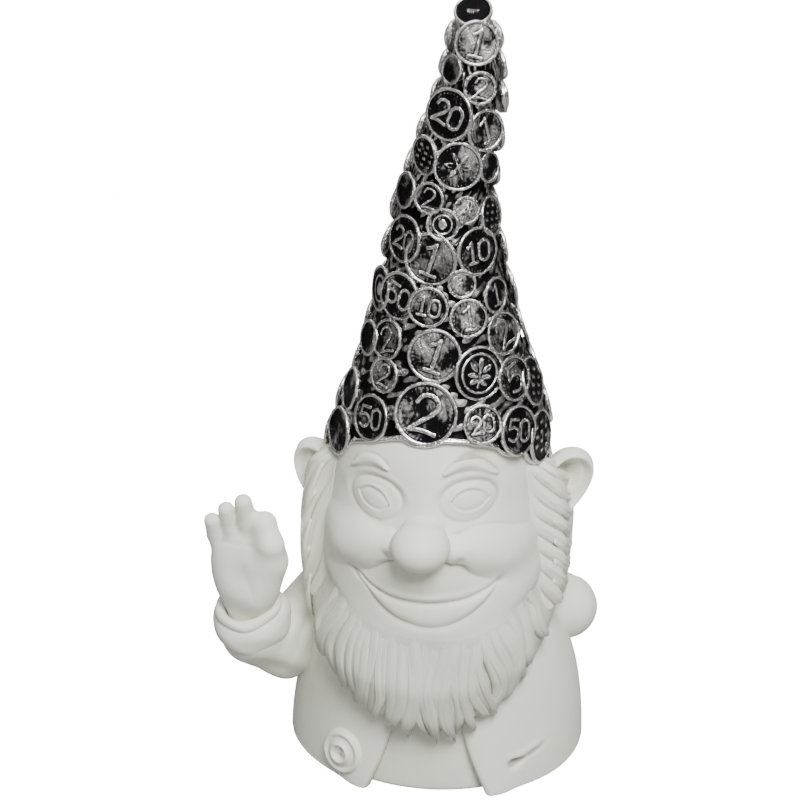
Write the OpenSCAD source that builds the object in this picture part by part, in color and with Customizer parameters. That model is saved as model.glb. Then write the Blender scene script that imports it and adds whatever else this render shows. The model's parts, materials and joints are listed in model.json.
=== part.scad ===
// Garden gnome bust with a tall hat covered in coins.
// Millimetres, +Z up, origin on the ground at the middle of the coat's hem. The face looks along -Y.
// The gnome's right arm, the raised one, is on the -X side.

/* [Body] */
// Half width of the coat at the ground
coat_rx = 68; // [62:0.5:74]
// Half depth of the coat at the ground
coat_ry = 57.5; // [52:0.5:62]
// Height at which the coat's dome would close
coat_dome = 110; // [104:1:118]
// Thickness of the coat over the torso
coat_t = 5; // [4:0.5:6]
// Wall of the hollow torso and head
wall = 3.5; // [2.5:0.5:5]
// Half width of the coat's front opening at the ground
gap_low = 25; // [20:1:30]
// Half width of the coat's front opening under the beard
gap_high = 11; // [8:1:15]
// Diameter of the coat button
button_d = 21; // [18:0.5:24]

/* [Head] */
// Radius of the neck spigot
neck_r = 24; // [18:1:28]
// Width of the ball nose
nose_w = 26; // [22:1:30]
// Depth of the pegs of nose and ears
peg_l = 6; // [4:1:8]
// Radius of the pegs
peg_r = 3; // [2:0.5:4]

/* [Hat] */
// Height of the hat's tip above the ground
hat_top = 334; // [330:1:340]
// Slope of the hat's rim, higher in front
rim_tilt = 28; // [20:1:32]
// Height of the rim at the sides
rim_z = 138.5; // [136:0.5:141]
// Wall of the metal cone
hat_wall = 2; // [1.5:0.5:3]
// Thickness of a coin
coin_t = 1.8; // [1.2:0.1:2.4]
// Width of a coin's raised rim
coin_rim = 1.4; // [1:0.1:2]

/* [Hidden] */
$fn = 48;
white = "#dcdcd6";
shade = "#cfcfc8";
silver = "#9a9c9e";
sides = 40;          // corners of each ring of a loft
fit = 0.15;          // glue gap between pieces
body_k = coat_ry / coat_rx;
shoulder_z = 80;     // where the coat ends under the beard
torso_top = 82;
neck_top = 94;
base_t = 4;
button_angle = -32;
button_z = 15;

// ---- rings and lofts ----

function lean(v, p) = sign(v) * pow(abs(v), p);

// One ring at height s[0]: centre (s[1], s[2]), half width s[3], half depth in front s[4] and behind s[5],
// grown by g. s[6] is the power: 2 is an ellipse, more is squarer.
function ring(s, g = 0) = [
    for (i = [0 : sides - 1])
        let (a = 360 * i / sides, q = 2 / s[6], ry = sin(a) < 0 ? s[4] : s[5])
        [s[1] + (s[3] + g) * lean(cos(a), q), s[2] + (ry + g) * lean(sin(a), q), s[0]]
];

// Skin over rings of equal count, closed with a flat lid at each end.
module skin(rings) {
    m = len(rings);
    n = len(rings[0]);
    walls = [
        for (k = [0 : m - 2]) for (i = [0 : n - 1])
            let (j = (i + 1) % n)
            each [[k * n + i, (k + 1) * n + i, k * n + j], [k * n + j, (k + 1) * n + i, (k + 1) * n + j]]
    ];
    low = [for (i = [0 : n - 1]) i];
    high = [for (i = [0 : n - 1]) m * n - 1 - i];
    polyhedron(points = [for (r = rings) each r], faces = concat(walls, [low, high]));
}

module loft(stations, g = 0) {
    skin([for (s = stations) ring(s, g)]);
}

// ---- body ----

// Half width of the coat at height z
function coat_at(z) = coat_rx * sqrt(1 - pow(max(z, 0) / coat_dome, 1.8));

function body_stations(g, heights) = [
    for (z = heights) let (r = coat_at(z)) [z, 0, 0, r + g, r * body_k + g, r * body_k + g, 2]
];

body_heights = [0, 10, 20, 30, 40, 50, 58, 66, 73, shoulder_z];

module body_solid(g, top = shoulder_z, bottom = 0) {
    heights = [bottom, for (z = body_heights) if (z > bottom && z < top) z, top];
    loft(body_stations(g, heights));
}

module torso_shell() {
    color(white) {
        resize([0, 0, 0]) difference() {
            body_solid(-coat_t - fit);
            body_solid(-coat_t - wall, shoulder_z - wall, -1);
            translate([0, 0, shoulder_z - 2 * wall]) cylinder(r = neck_r - wall, h = 4 * wall);
        }
        translate([0, 0, shoulder_z]) difference() {
            cylinder(r = neck_r, h = neck_top - shoulder_z);
            translate([0, 0, -1]) cylinder(r = neck_r - wall, h = neck_top);
        }
    }
}

// Closing plate: an ellipse let into the open bottom of the torso
module base_plate() {
    rx = coat_rx - coat_t - wall - 1;
    ry = coat_ry - coat_t - wall - 1;
    color(shade) linear_extrude(base_t)
        polygon([for (i = [0 : 59]) [rx * cos(6 * i), ry * sin(6 * i)]]);
}

// Puts its children on the coat at an angle from the front and a height, facing outwards
module on_coat(angle, z) {
    r = coat_at(z);
    x = r * sin(angle);
    y = -r * body_k * cos(angle);
    turn = atan2(x / (r * r), -y / (r * r * body_k * body_k));
    lift = 8;
    translate([x, y, z]) rotate([0, 0, turn]) rotate([90 - lift, 0, 0]) children();
}

module coat() {
    color(white) resize([0, 0, 0]) difference() {
        body_solid(0);
        body_solid(-coat_t, shoulder_z + 1, -1);
        rotate([90, 0, 0]) linear_extrude(2 * coat_ry)
            polygon([[-gap_low, -1], [gap_low + 4, -1], [gap_high + 6, 34], [gap_high, shoulder_z + 1],
                     [-gap_high, shoulder_z + 1], [-gap_high - 2, 34]]);
        on_coat(button_angle, button_z) cylinder(r = peg_r + fit, h = 20, center = true);
    }
}

module coat_button() {
    r = button_d / 2;
    color(white) on_coat(button_angle, button_z) difference() {
        union() {
            translate([0, 0, 0.6]) rotate_extrude()
                polygon([[0, 0], [r - 1, 0], [r, 1], [r, 2], [r - 1.5, 3], [r - 4, 2.6], [r - 5.5, 3.6], [0, 3.6]]);
            translate([0, 0, 0.8 - coat_t]) cylinder(r = peg_r, h = coat_t);
        }
        for (x = [-2, 2]) translate([x, 0, 2.4]) cylinder(r = 0.9, h = 4);
    }
}

// ---- head ----

// z, centre x, centre y, half width, half depth front, half depth back, power
head_stations = [
    [83, 2, 0, 36, 44, 34, 2], [88, 2, 0, 43, 52, 42, 2.2], [98, 1, 0, 47, 57, 46, 2.3],
    [110, 0, 0, 47.5, 57, 47, 2.3], [122, 0, 0, 47, 56, 47, 2.2], [134, 0, 0, 46, 52, 46, 2.1],
    [144, 0, 0, 44.5, 49.5, 44, 2.1], [152, 0, 0, 42.5, 48, 42, 2], [162, 1, 0, 38.5, 40, 38.5, 2],
    [172, 2, 0, 34, 34, 34, 2], [180, 2, 0, 26, 26, 26, 2], [186, 3, 0, 15, 15, 15, 2], [188, 3, 0, 5, 5, 5, 2]
];

collar_t = 4;        // wall of the head's neck socket
collar_h = 14;
nose_at = [1.5, -62, 126.5];
ear_l_at = [53, 4, 128];
ear_r_at = [-49, 4, 122];

// Everything of the head but its collar, with bores for the pegs of nose and ears
module head_skin() {
    difference() {
        loft(head_stations);
        skin([for (s = head_stations) if (s[0] > 90 && s[3] > 6)
            ring([s[0] > 180 ? s[0] - 2 : s[0], s[1], s[2], s[3], s[4], s[5], s[6]], -wall - 0.5)]);
        translate([0, 0, torso_top - 2]) cylinder(r = neck_r + collar_t / 2, h = 20);
        translate(nose_at) rotate([-90, 0, 0]) cylinder(r = peg_r + fit, h = 20);
        translate(ear_l_at) rotate([0, -90, 0]) cylinder(r = peg_r + fit, h = 20);
        translate(ear_r_at) rotate([0, 90, 0]) cylinder(r = peg_r + fit, h = 20);
    }
}

module head_shell() {
    color(white) {
        resize([0, 0, 0]) head_skin();
        translate([0, 0, head_stations[0][0]]) difference() {
            cylinder(r = neck_r + collar_t, h = collar_h);
            translate([0, 0, -1]) cylinder(r = neck_r + fit, h = collar_h + 2);
        }
    }
}

module nose() {
    color(white) {
        resize([0, 0, 0]) difference() {
            translate(nose_at) scale([nose_w / 2, 12.5, 10.5]) sphere(r = 1, $fn = 32);
            loft(head_stations, fit);
        }
        translate(nose_at) rotate([-90, 0, 0]) cylinder(r = peg_r, h = peg_l + 8);
    }
}

// Ear: a leaf-shaped dish, taller than wide, leaning outwards at the top. side is 1 or -1.
module ear(at, side) {
    color(white) {
        resize([0, 0, 0]) difference() {
            translate(at) rotate([0, side * 14, side * 20]) translate([side * 3, 0, 0]) difference() {
                scale([10.5, 5, 18]) sphere(r = 1, $fn = 28);
                translate([side * 1, -5.5, 1]) scale([6.5, 4.5, 12]) sphere(r = 1, $fn = 24);
            }
            loft(head_stations, fit);
        }
        translate([at[0] - side * (peg_l + 5), at[1], at[2]]) rotate([0, side * 90, 0]) cylinder(r = peg_r, h = peg_l + 6);
    }
}

module left_ear() {
    ear(ear_l_at, 1);
}

module right_ear() {
    ear(ear_r_at, -1);
}

// ---- beard and hair ----

// Outer form of beard and hair together
mane_stations = [
    [34, 4, -26, 28, 35, 20, 2], [42, 2, -18, 39, 46, 20, 2.2], [50, 1, -10, 47, 55, 26, 2.2],
    [60, 0, -4, 53, 62, 34, 2.2], [72, 0, 0, 56, 66, 44, 2.3], [88, 0, 0, 58, 64, 49, 2.3],
    [104, 0, 0, 58.5, 60, 51, 2.3], [118, 0, 0, 58, 56, 51, 2.2], [130, 0, 0, 56, 50, 50, 2.2],
    [142, 0, 0, 52, 46, 48, 2.2], [150, 0, 0, 46, 40, 44, 2.2]
];

module mane(g = 0) {
    loft(mane_stations, g);
}

// What the mane's pieces leave free: head, coat and the space under the hat
module mane_core() {
    loft(head_stations, fit);
    body_solid(fit);
    above_rim(-fit);
    translate([0, 0, shoulder_z - 8]) cylinder(r = neck_r + 12, h = 16);
}

// Wedge of the plan between two angles, counted from +X towards +Y
module wedge(from, to, low = 0, high = 200) {
    r = 200;
    steps = 6;
    translate([0, 0, low]) linear_extrude(high - low) polygon(concat([[0, 0]], [
        for (i = [0 : steps]) let (a = from + (to - from) * i / steps) [r * cos(a), r * sin(a)]
    ]));
}

// Face line: the beard lies below the smile and rises to the side hair
module face_window() {
    rotate([90, 0, 0]) linear_extrude(120)
        polygon([[-46, 170], [-46, 112], [-40, 98], [-28, 90], [-12, 85], [6, 82], [24, 85], [38, 90],
                 [46, 100], [48, 114], [46, 170]]);
}

module beard() {
    color(white) resize([0, 0, 0]) difference() {
        mane();
        mane_core();
        face_window();
        translate([0, 0, 100]) cylinder(r = 200, h = 100);
        wedge(-25, 205);
    }
}

module side_hair(from, to) {
    color(white) resize([0, 0, 0]) difference() {
        intersection() {
            mane();
            wedge(from, to);
        }
        mane_core();
        face_window();
        translate([0, 0, -1]) cylinder(r = 200, h = 76);
        for (at = [ear_l_at, ear_r_at])
            translate(at) scale([15, 8, 19]) sphere(r = 1, $fn = 16);
        difference() {
            wedge(-155, -25);
            translate([0, 0, 100]) cylinder(r = 200, h = 100);
        }
    }
}

module left_side_hair() {
    side_hair(-60, 24.6);
}

module right_side_hair() {
    side_hair(155.4, 240);
}

module back_hair() {
    side_hair(25, 155);
}

// ---- arms ----

module ball(p, r, g = 0) {
    translate(p) sphere(r = r + g, $fn = 22);
}

r_shoulder = [-44, 8, 64];
r_elbow = [-68, -6, 44];
r_cuff = [-81, -23, 64];
l_shoulder = [42, 8, 64];
l_elbow = [57, 16, 58];
l_cuff = [22, 60, 50];

// Solid between two balls
module limb(a, ra, b, rb) {
    hull() {
        ball(a, ra);
        ball(b, rb);
    }
}

module right_sleeve() {
    color(white) resize([0, 0, 0]) difference() {
        union() {
            limb(r_shoulder, 15, r_elbow, 15.5);
            limb(r_elbow, 15.5, r_cuff + [0, 0, -8], 14.5);
        }
        body_solid(fit);
        mane(fit);
        cuff_solid(r_cuff, fit);
    }
}

// Rolled cuff: a thick ring with two lips, leaning a little, with the wrist's bore through it
module cuff_solid(at, g = 0) {
    translate(at) rotate([8, 4, 0]) {
        translate([0, 0, -9 - g]) rotate_extrude()
            polygon([[0, 0], [15.5, 0], [17.5 + g, 2], [18 + g, 6], [17 + g, 9], [18 + g, 13],
                     [17 + g, 17], [14, 18 + 2 * g], [0, 18 + 2 * g]]);
    }
}

wrist_r = 9;

module right_cuff() {
    color(white) difference() {
        cuff_solid(r_cuff);
        translate(r_cuff) rotate([8, 4, 0]) cylinder(r = wrist_r + fit, h = 40);
    }
}

// Raised hand: palm forwards, three fingers up, first finger bent onto the thumb
module right_hand() {
    p = [-80, -26, 90];
    color(white) {
        resize([0, 0, 0]) union() {
            hull() {
                ball(p + [-7, 0, 6], 8);
                ball(p + [7, 0, 5], 8);
                ball(p + [1, 1, -12], 10);
            }
            limb(p + [-10, 0, 10], 4.6, p + [-12, -3, 32], 3.6);
            limb(p + [-3, 0, 12], 4.8, p + [-4.5, -2, 36], 3.8);
            limb(p + [4, 0, 12], 4.8, p + [4, -2, 35], 3.8);
            limb(p + [9, -2, 10], 4.8, p + [13, -8, 22], 4.6);
            limb(p + [10, -6, -2], 5, p + [14, -11, 14], 4.6);
        }
        translate(r_cuff) rotate([8, 4, 0]) translate([0, 0, 1]) cylinder(r = wrist_r, h = 20);
    }
}

module left_cuff_solid(g = 0) {
    translate(l_cuff) rotate([0, -90, 8]) translate([0, 0, -8 - g]) rotate_extrude()
        polygon([[0, 0], [13, 0], [14.5 + g, 2], [15 + g, 8], [14.5 + g, 14], [12, 16 + 2 * g], [0, 16 + 2 * g]]);
}

module left_sleeve() {
    color(white) resize([0, 0, 0]) difference() {
        union() {
            limb(l_shoulder, 14, l_elbow, 13.5);
            limb(l_elbow, 13.5, l_cuff + [9, 0, 0], 11);
        }
        body_solid(fit);
        mane(fit);
        left_cuff_solid(fit);
    }
}

module left_cuff() {
    color(white) difference() {
        left_cuff_solid();
        body_solid(fit);
        translate(l_cuff) rotate([0, -90, 8]) cylinder(r = 7 + fit, h = 40);
    }
}

// Left hand, resting flat in the small of the back
module left_hand() {
    color(white) {
        resize([0, 0, 0]) difference() {
            union() {
                hull() {
                    ball(l_cuff + [-14, 2, 0], 8);
                    ball(l_cuff + [-26, 1, 6], 7);
                    ball(l_cuff + [-26, 1, -6], 7);
                }
                for (k = [0 : 3])
                    limb(l_cuff + [-27, 1, 8 - 5.5 * k], 4, l_cuff + [-42 - 2 * (k % 2), 0, 8 - 6 * k], 3.4);
                limb(l_cuff + [-20, 2, 8], 4.4, l_cuff + [-28, 2, 16], 3.8);
            }
            body_solid(fit);
        }
        translate(l_cuff) rotate([0, -90, 8]) translate([0, 0, 1]) cylinder(r = 7, h = 14);
    }
}

// ---- hat ----

// Height and outer radius of the hat, coins included
hat_profile = [
    [100, 60], [140, 51], [165, 46], [185, 38.5], [200, 34.5], [215, 29.5], [232, 25.5],
    [248, 22.5], [265, 18.5], [288, 15.8], [304, 13.5], [316, 11], [326, 9.5], [hat_top, 5.5]
];
coin_depth = 3.2;    // how far the coins stand out from the cone

function smooth(a, b, z) = let (t = min(max((z - a) / (b - a), 0), 1)) t * t * (3 - 2 * t);

// The hat's axis: upright at first, then leaning to +X towards the tip
function hat_x(z) = 3 * smooth(140, 175, z) + 11.5 * smooth(245, 315, z);
function hat_r(z) = lookup(z, hat_profile) - coin_depth;
function rim_at(angle) = rim_z + 50 * tan(rim_tilt) * cos(angle);

// The space over the rim's sloping plane, and the space under it
module above_rim(lift = 0) {
    translate([0, 0, rim_z + lift]) rotate([-rim_tilt, 0, 0]) translate([-150, -150, 0]) cube([300, 300, 300]);
}

module below_rim() {
    translate([0, 0, rim_z]) rotate([-rim_tilt, 0, 0]) translate([-150, -150, -200]) cube([300, 300, 200]);
}

// Solid cone, before the rim is cut. g grows it.
module cone(stations, g = 0) {
    skin([for (s = stations) ring([s[0], hat_x(s[0]), 0, hat_r(s[0]), hat_r(s[0]), hat_r(s[0]), 2], g)]);
}

module hat_shell() {
    color(silver) resize([0, 0, 0]) difference() {
        cone(hat_profile);
        cone([for (s = hat_profile) if (s[0] < 320) s], -hat_wall);
        below_rim();
    }
}

// Coins in front: height, angle from the front towards +X, diameter
front_coins = [
    [322, 15, 18.5], [311, -39, 13], [305, 21, 14.5], [299, 93, 15], [294, -26, 22], [288, 43, 18],
    [277, -44, 17.5], [274, 11, 20.5], [272, 62, 14], [261, -16, 14.5], [256, 31, 12.5], [251, 70, 18],
    [261, -61, 16], [251, 5, 14.5], [243, -40, 20.5], [237, -7, 23], [239, 43, 21], [227, 23, 13],
    [220, -37, 21], [219, -67, 20], [218, -7, 18], [213, 27, 17], [220, 56, 16], [204, 57, 19],
    [202, -38, 18], [199, -60, 16], [199, 0, 23], [191, 31, 23.5], [188, -35, 16], [185, 58, 20],
    [179, 79, 22], [175, -67, 19.5], [176, -4, 27], [170, -38, 20.5], [158, -63, 21], [171, 29, 17.5],
    [165, 52, 22], [156, 75, 24]
];

// Rows of coins at the sides and back: height over the rim's slope there, count, diameter
back_rows = [
    [11, 7, 24], [31, 7, 22], [50, 6, 22.5], [69, 6, 20], [86, 5, 20.5], [104, 5, 19], [121, 4, 18.5],
    [137, 4, 17], [152, 3, 18], [167, 3, 16], [180, 3, 15], [191, 2, 15]
];
coin_fill = 0.92;    // part of a coin's width that shows between its neighbours
tiny_fill = 0.84;
back_from = 92;
back_span = 176;

// The rows follow the sloping rim below and become level towards the tip
back_coins = [
    for (r = back_rows) for (k = [0 : r[1] - 1])
        let (a = back_from + back_span * (k + 0.5) / r[1], level = smooth(0, 120, r[0]))
        [r[0] + (1 - level) * rim_at(a) + level * (rim_z - 8), a, r[2] + (k % 2) * 1.2 - 0.6]
];
coins = concat(front_coins, back_coins);

// Puts its children on the cone at a height and an angle, facing outwards
module on_hat(z, angle) {
    slope = atan((hat_r(z - 5) - hat_r(z + 5)) / 10);
    translate([hat_x(z) + hat_r(z) * sin(angle), -hat_r(z) * cos(angle), z])
        rotate([0, 0, angle]) rotate([90 - slope, 0, 0]) children();
}

// A coin with a raised rim, and the blob of solder that holds it. lift is how far it lies over the cone.
module coin(d, lift) {
    r = d / 2;
    translate([0, 0, lift]) rotate_extrude($fn = 32) polygon([
        [0, 0], [r, 0], [r, coin_t], [r - coin_rim, coin_t], [r - coin_rim - 0.3, coin_t - 0.5], [0, coin_t - 0.5]
    ]);
    translate([0, 0, -0.5]) cylinder(r = r / 3, h = lift + 0.6, $fn = 16);
}

// The coins of one range of size. The smaller they are, the later they were laid, over their neighbours.
module coins_between(low, high, lift, fill = coin_fill) {
    color(silver) for (c = coins) if (c[2] > low && c[2] <= high) on_hat(c[0], c[1]) coin(fill * c[2], lift);
}

module coins_broad() {
    coins_between(22.8, 30, 0.2);
    // The coin that caps the tip
    color(silver) translate([hat_x(hat_top), -1, hat_top - 1.5]) rotate([35, 0, 15]) coin(17, 0);
}

module coins_large() {
    coins_between(20.2, 22.8, 0.6);
}

module coins_medium() {
    coins_between(18.2, 20.2, 1);
}

module coins_small() {
    coins_between(15.4, 18.2, 1.4);
}

module coins_tiny() {
    coins_between(10, 15.4, 1.8, tiny_fill);
}

torso_shell();
base_plate();
coat();
coat_button();
head_shell();
nose();
left_ear();
right_ear();
beard();
left_side_hair();
right_side_hair();
back_hair();
right_sleeve();
right_cuff();
right_hand();
left_sleeve();
left_cuff();
left_hand();
hat_shell();
coins_broad();
coins_large();
coins_medium();
coins_small();
coins_tiny();
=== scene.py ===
"""Garden gnome bust with a tall hat covered in coins: the looks of every piece.

Shapes are worked out in millimetres in the row's frame (+Z up, the face looks along -Y, the gnome's left
is +X) and become metres when a mesh is made. An angle round the figure counts in degrees from the front
towards +X.
"""

import json
import logging
import math
from dataclasses import dataclass, field
from enum import Enum
from typing import Callable, Sequence

import bpy
import numpy as np
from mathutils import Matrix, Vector

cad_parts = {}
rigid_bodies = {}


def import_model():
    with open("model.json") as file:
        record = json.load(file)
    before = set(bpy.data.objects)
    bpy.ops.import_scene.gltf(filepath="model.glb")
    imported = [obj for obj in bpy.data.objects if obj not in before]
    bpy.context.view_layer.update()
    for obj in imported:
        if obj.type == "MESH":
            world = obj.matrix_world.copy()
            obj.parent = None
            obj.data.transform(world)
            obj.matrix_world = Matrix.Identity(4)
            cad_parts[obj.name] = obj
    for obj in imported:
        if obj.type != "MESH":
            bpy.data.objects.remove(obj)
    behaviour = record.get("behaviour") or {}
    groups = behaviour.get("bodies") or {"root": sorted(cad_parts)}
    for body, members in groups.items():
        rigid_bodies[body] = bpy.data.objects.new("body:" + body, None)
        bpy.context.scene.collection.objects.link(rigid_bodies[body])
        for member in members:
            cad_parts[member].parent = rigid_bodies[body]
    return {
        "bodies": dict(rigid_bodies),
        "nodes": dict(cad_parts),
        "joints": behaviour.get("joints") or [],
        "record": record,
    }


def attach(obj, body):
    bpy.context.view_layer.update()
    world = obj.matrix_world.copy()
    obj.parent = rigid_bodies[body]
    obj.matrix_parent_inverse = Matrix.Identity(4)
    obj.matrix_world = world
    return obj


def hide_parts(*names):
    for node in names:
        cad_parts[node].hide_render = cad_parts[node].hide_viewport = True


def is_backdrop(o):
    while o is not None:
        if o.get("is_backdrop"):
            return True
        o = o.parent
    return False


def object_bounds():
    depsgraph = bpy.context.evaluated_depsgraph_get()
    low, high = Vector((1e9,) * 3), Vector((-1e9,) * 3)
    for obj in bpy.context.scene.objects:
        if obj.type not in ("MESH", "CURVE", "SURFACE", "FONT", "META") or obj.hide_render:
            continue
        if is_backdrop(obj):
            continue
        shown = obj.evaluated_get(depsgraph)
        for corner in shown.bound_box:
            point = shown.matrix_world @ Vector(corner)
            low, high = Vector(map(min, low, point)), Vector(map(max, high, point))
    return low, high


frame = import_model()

Array = np.ndarray
Pair = tuple[float, float]
Point = tuple[float, float, float]
Grid = tuple[Array, Array, Array]
Waves = Callable[[Array, Array], Array]
Colour = tuple[float, float, float, float]
Material = bpy.types.Material
Node = bpy.types.Node
Socket = bpy.types.NodeSocket
Tree = bpy.types.NodeTree

LOG = logging.getLogger("gnome")
MM = 0.001
BODY = "root"


# ---- numbers ----


def smooth(low: float, high: float, value: Array) -> Array:
    """Smooth step, 3t^2 - 2t^3: 0 at low and 1 at high, and the other way round if low is the larger.

    Args:
        low: value at which the step starts.
        high: value at which it ends.
        value: where it is wanted.

    Returns:
        Numbers from 0 to 1.
    """
    t = np.clip((np.asarray(value, float) - low) / (high - low), 0.0, 1.0)
    return t * t * (3.0 - 2.0 * t)


def bell(value: Array, width: float) -> Array:
    """Bell curve exp(-(value / width)^2)."""
    return np.exp(-((value / width) ** 2))


def lean(value: Array, power: float) -> Array:
    """Value raised to a power, keeping its sign."""
    return np.sign(value) * np.abs(value) ** power


def through(knots: Sequence[float], values: Sequence, at: Array) -> Array:
    """Smooth curve through points: cubic pieces whose slope at each knot is that of its neighbours.

    Args:
        knots: rising positions of the points.
        values: one number or one row of numbers per knot.
        at: positions wanted, held inside the knots.

    Returns:
        The curve's number or row of numbers at each position.
    """
    x, y = np.asarray(knots, float), np.asarray(values, float)
    slope = np.gradient(y, x, axis=0)
    at = np.clip(np.asarray(at, float), x[0], x[-1])
    k = np.clip(np.searchsorted(x, at, side="right") - 1, 0, len(x) - 2)
    h = x[k + 1] - x[k]
    t = (at - x[k]) / h
    if y.ndim > 1:
        h, t = h[..., None], t[..., None]
    a, b = y[k], y[k + 1]
    ma, mb = slope[k] * h, slope[k + 1] * h
    t2, t3 = t * t, t * t * t
    return a * (2 * t3 - 3 * t2 + 1) + ma * (t3 - 2 * t2 + t) + b * (3 * t2 - 2 * t3) + mb * (t3 - t2)


def drawn(points: Sequence, count: int = 24) -> Array:
    """Smooth open line through a few points, sampled evenly in their number."""
    pts = np.asarray(points, float)
    return through(np.arange(len(pts)), pts, np.linspace(0, len(pts) - 1, count))


def near_line(x: Array, z: Array, line: Array) -> tuple[Array, Array]:
    """Distance from points of a plane to a line of straight pieces.

    Args:
        x: first coordinate of the points.
        z: second coordinate of the points.
        line: (n, 2) points of the line.

    Returns:
        The distance, and the share of the line's pieces at the nearest spot, from 0 to 1.
    """
    best = np.full(np.shape(x), 1e9)
    share = np.zeros(np.shape(x))
    count = len(line) - 1
    for k in range(count):
        a, d = line[k], line[k + 1] - line[k]
        t = np.clip(((x - a[0]) * d[0] + (z - a[1]) * d[1]) / max(float(d @ d), 1e-9), 0.0, 1.0)
        gap = np.hypot(x - a[0] - t * d[0], z - a[1] - t * d[1])
        closer = gap < best
        best = np.where(closer, gap, best)
        share = np.where(closer, (k + t) / count, share)
    return best, share


def swung(x: Array, y: Array, turn: float) -> tuple[Array, Array]:
    """Places along and across a direction that is turned from x towards y by an angle in radians."""
    return x * math.cos(turn) + y * math.sin(turn), y * math.cos(turn) - x * math.sin(turn)


def unit(vectors: Array) -> Array:
    """Vectors of length one in the same directions."""
    return vectors / np.maximum(np.linalg.norm(vectors, axis=-1, keepdims=True), 1e-9)


# ---- meshes ----


@dataclass
class Skin:
    """A closed mesh in millimetres, with named values at its points."""

    points: Array
    faces: list[Array]
    marks: dict[str, Array] = field(default_factory=dict)

    def triangles(self) -> Array:
        """All faces cut into triangles, as (n, 3) numbers of points.

        Returns:
            (n, 3) numbers of points.
        """
        parts = []
        for f in self.faces:
            parts.extend([f] if f.shape[1] == 3 else [f[:, [0, 1, 2]], f[:, [0, 2, 3]]])
        return np.concatenate(parts)

    def outward(self) -> "Skin":
        """Turns every face outwards: a closed skin has a positive volume then.

        Returns:
            The skin itself.
        """
        a, b, c = (self.points[self.triangles()[:, k]] for k in range(3))
        if np.einsum("ij,ij->", a, np.cross(b, c)) < 0:
            self.faces = [f[:, ::-1].copy() for f in self.faces]
        return self

    @staticmethod
    def joined(skins: Sequence["Skin"]) -> "Skin":
        """One skin made of several, each kept closed by itself.

        Args:
            skins: the skins, all with the same marks.

        Returns:
            The joined skin.
        """
        starts = np.cumsum([0] + [len(s.points) for s in skins])
        faces = [f + start for s, start in zip(skins, starts) for f in s.faces]
        keys = skins[0].marks.keys()
        marks = {k: np.concatenate([s.marks[k] for s in skins]) for k in keys}
        return Skin(np.concatenate([s.points for s in skins]), faces, marks)


def quads(rows: int, cols: int, wrap: bool) -> Array:
    """Faces of a grid of points counted row by row.

    Args:
        rows: number of rows.
        cols: points in a row.
        wrap: whether each row is a closed ring.

    Returns:
        (n, 4) numbers of points.
    """
    i = np.arange(rows - 1)[:, None] * cols
    j = np.arange(cols if wrap else cols - 1)[None, :]
    nxt = (j + 1) % cols
    return np.stack([i + j, i + nxt, i + nxt + cols, i + j + cols], -1).reshape(-1, 4)


def tube(rings: Array) -> Skin:
    """Closed skin over a stack of rings, (rows, cols, 3), with a fan to the middle of each end ring.

    Args:
        rings: (rows, points, 3) rings from one end to the other.

    Returns:
        The skin.
    """
    rows, cols = rings.shape[:2]
    n = rows * cols
    j = np.arange(cols)
    nxt = (j + 1) % cols
    low = np.stack([nxt, j, np.full(cols, n)], -1)
    high = np.stack([j + n - cols, nxt + n - cols, np.full(cols, n + 1)], -1)
    points = np.concatenate([rings.reshape(-1, 3), rings[:1].mean(1), rings[-1:].mean(1)])
    return Skin(points, [quads(rows, cols, True), low, high]).outward()


def hoop(rings: Array) -> Skin:
    """Closed skin over a stack of rings whose last ring meets its first, like a tyre.

    Args:
        rings: (rows, points, 3) rings in order.

    Returns:
        The skin.
    """
    rows, cols = rings.shape[:2]
    looped = quads(rows + 1, cols, True) % (rows * cols)
    return Skin(rings.reshape(-1, 3), [looped]).outward()


def slab(front: Array, back: Array) -> Skin:
    """Closed thick sheet between two open grids of the same shape, joined round their border.

    Args:
        front: (rows, columns, 3) points of its face.
        back: as many points of its back.

    Returns:
        The sheet's skin.
    """
    rows, cols = front.shape[:2]
    n = rows * cols
    face = quads(rows, cols, False)
    top, right = np.arange(cols), np.arange(1, rows) * cols + cols - 1
    bottom, left = n - 2 - np.arange(cols - 1), np.arange(rows - 2, 0, -1) * cols
    loop = np.concatenate([top, right, bottom, left])
    nxt = np.roll(loop, -1)
    side = np.stack([nxt, loop, loop + n, nxt + n], -1)
    points = np.concatenate([front.reshape(-1, 3), back.reshape(-1, 3)])
    return Skin(points, [face, face[:, ::-1] + n, side]).outward()


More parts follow.
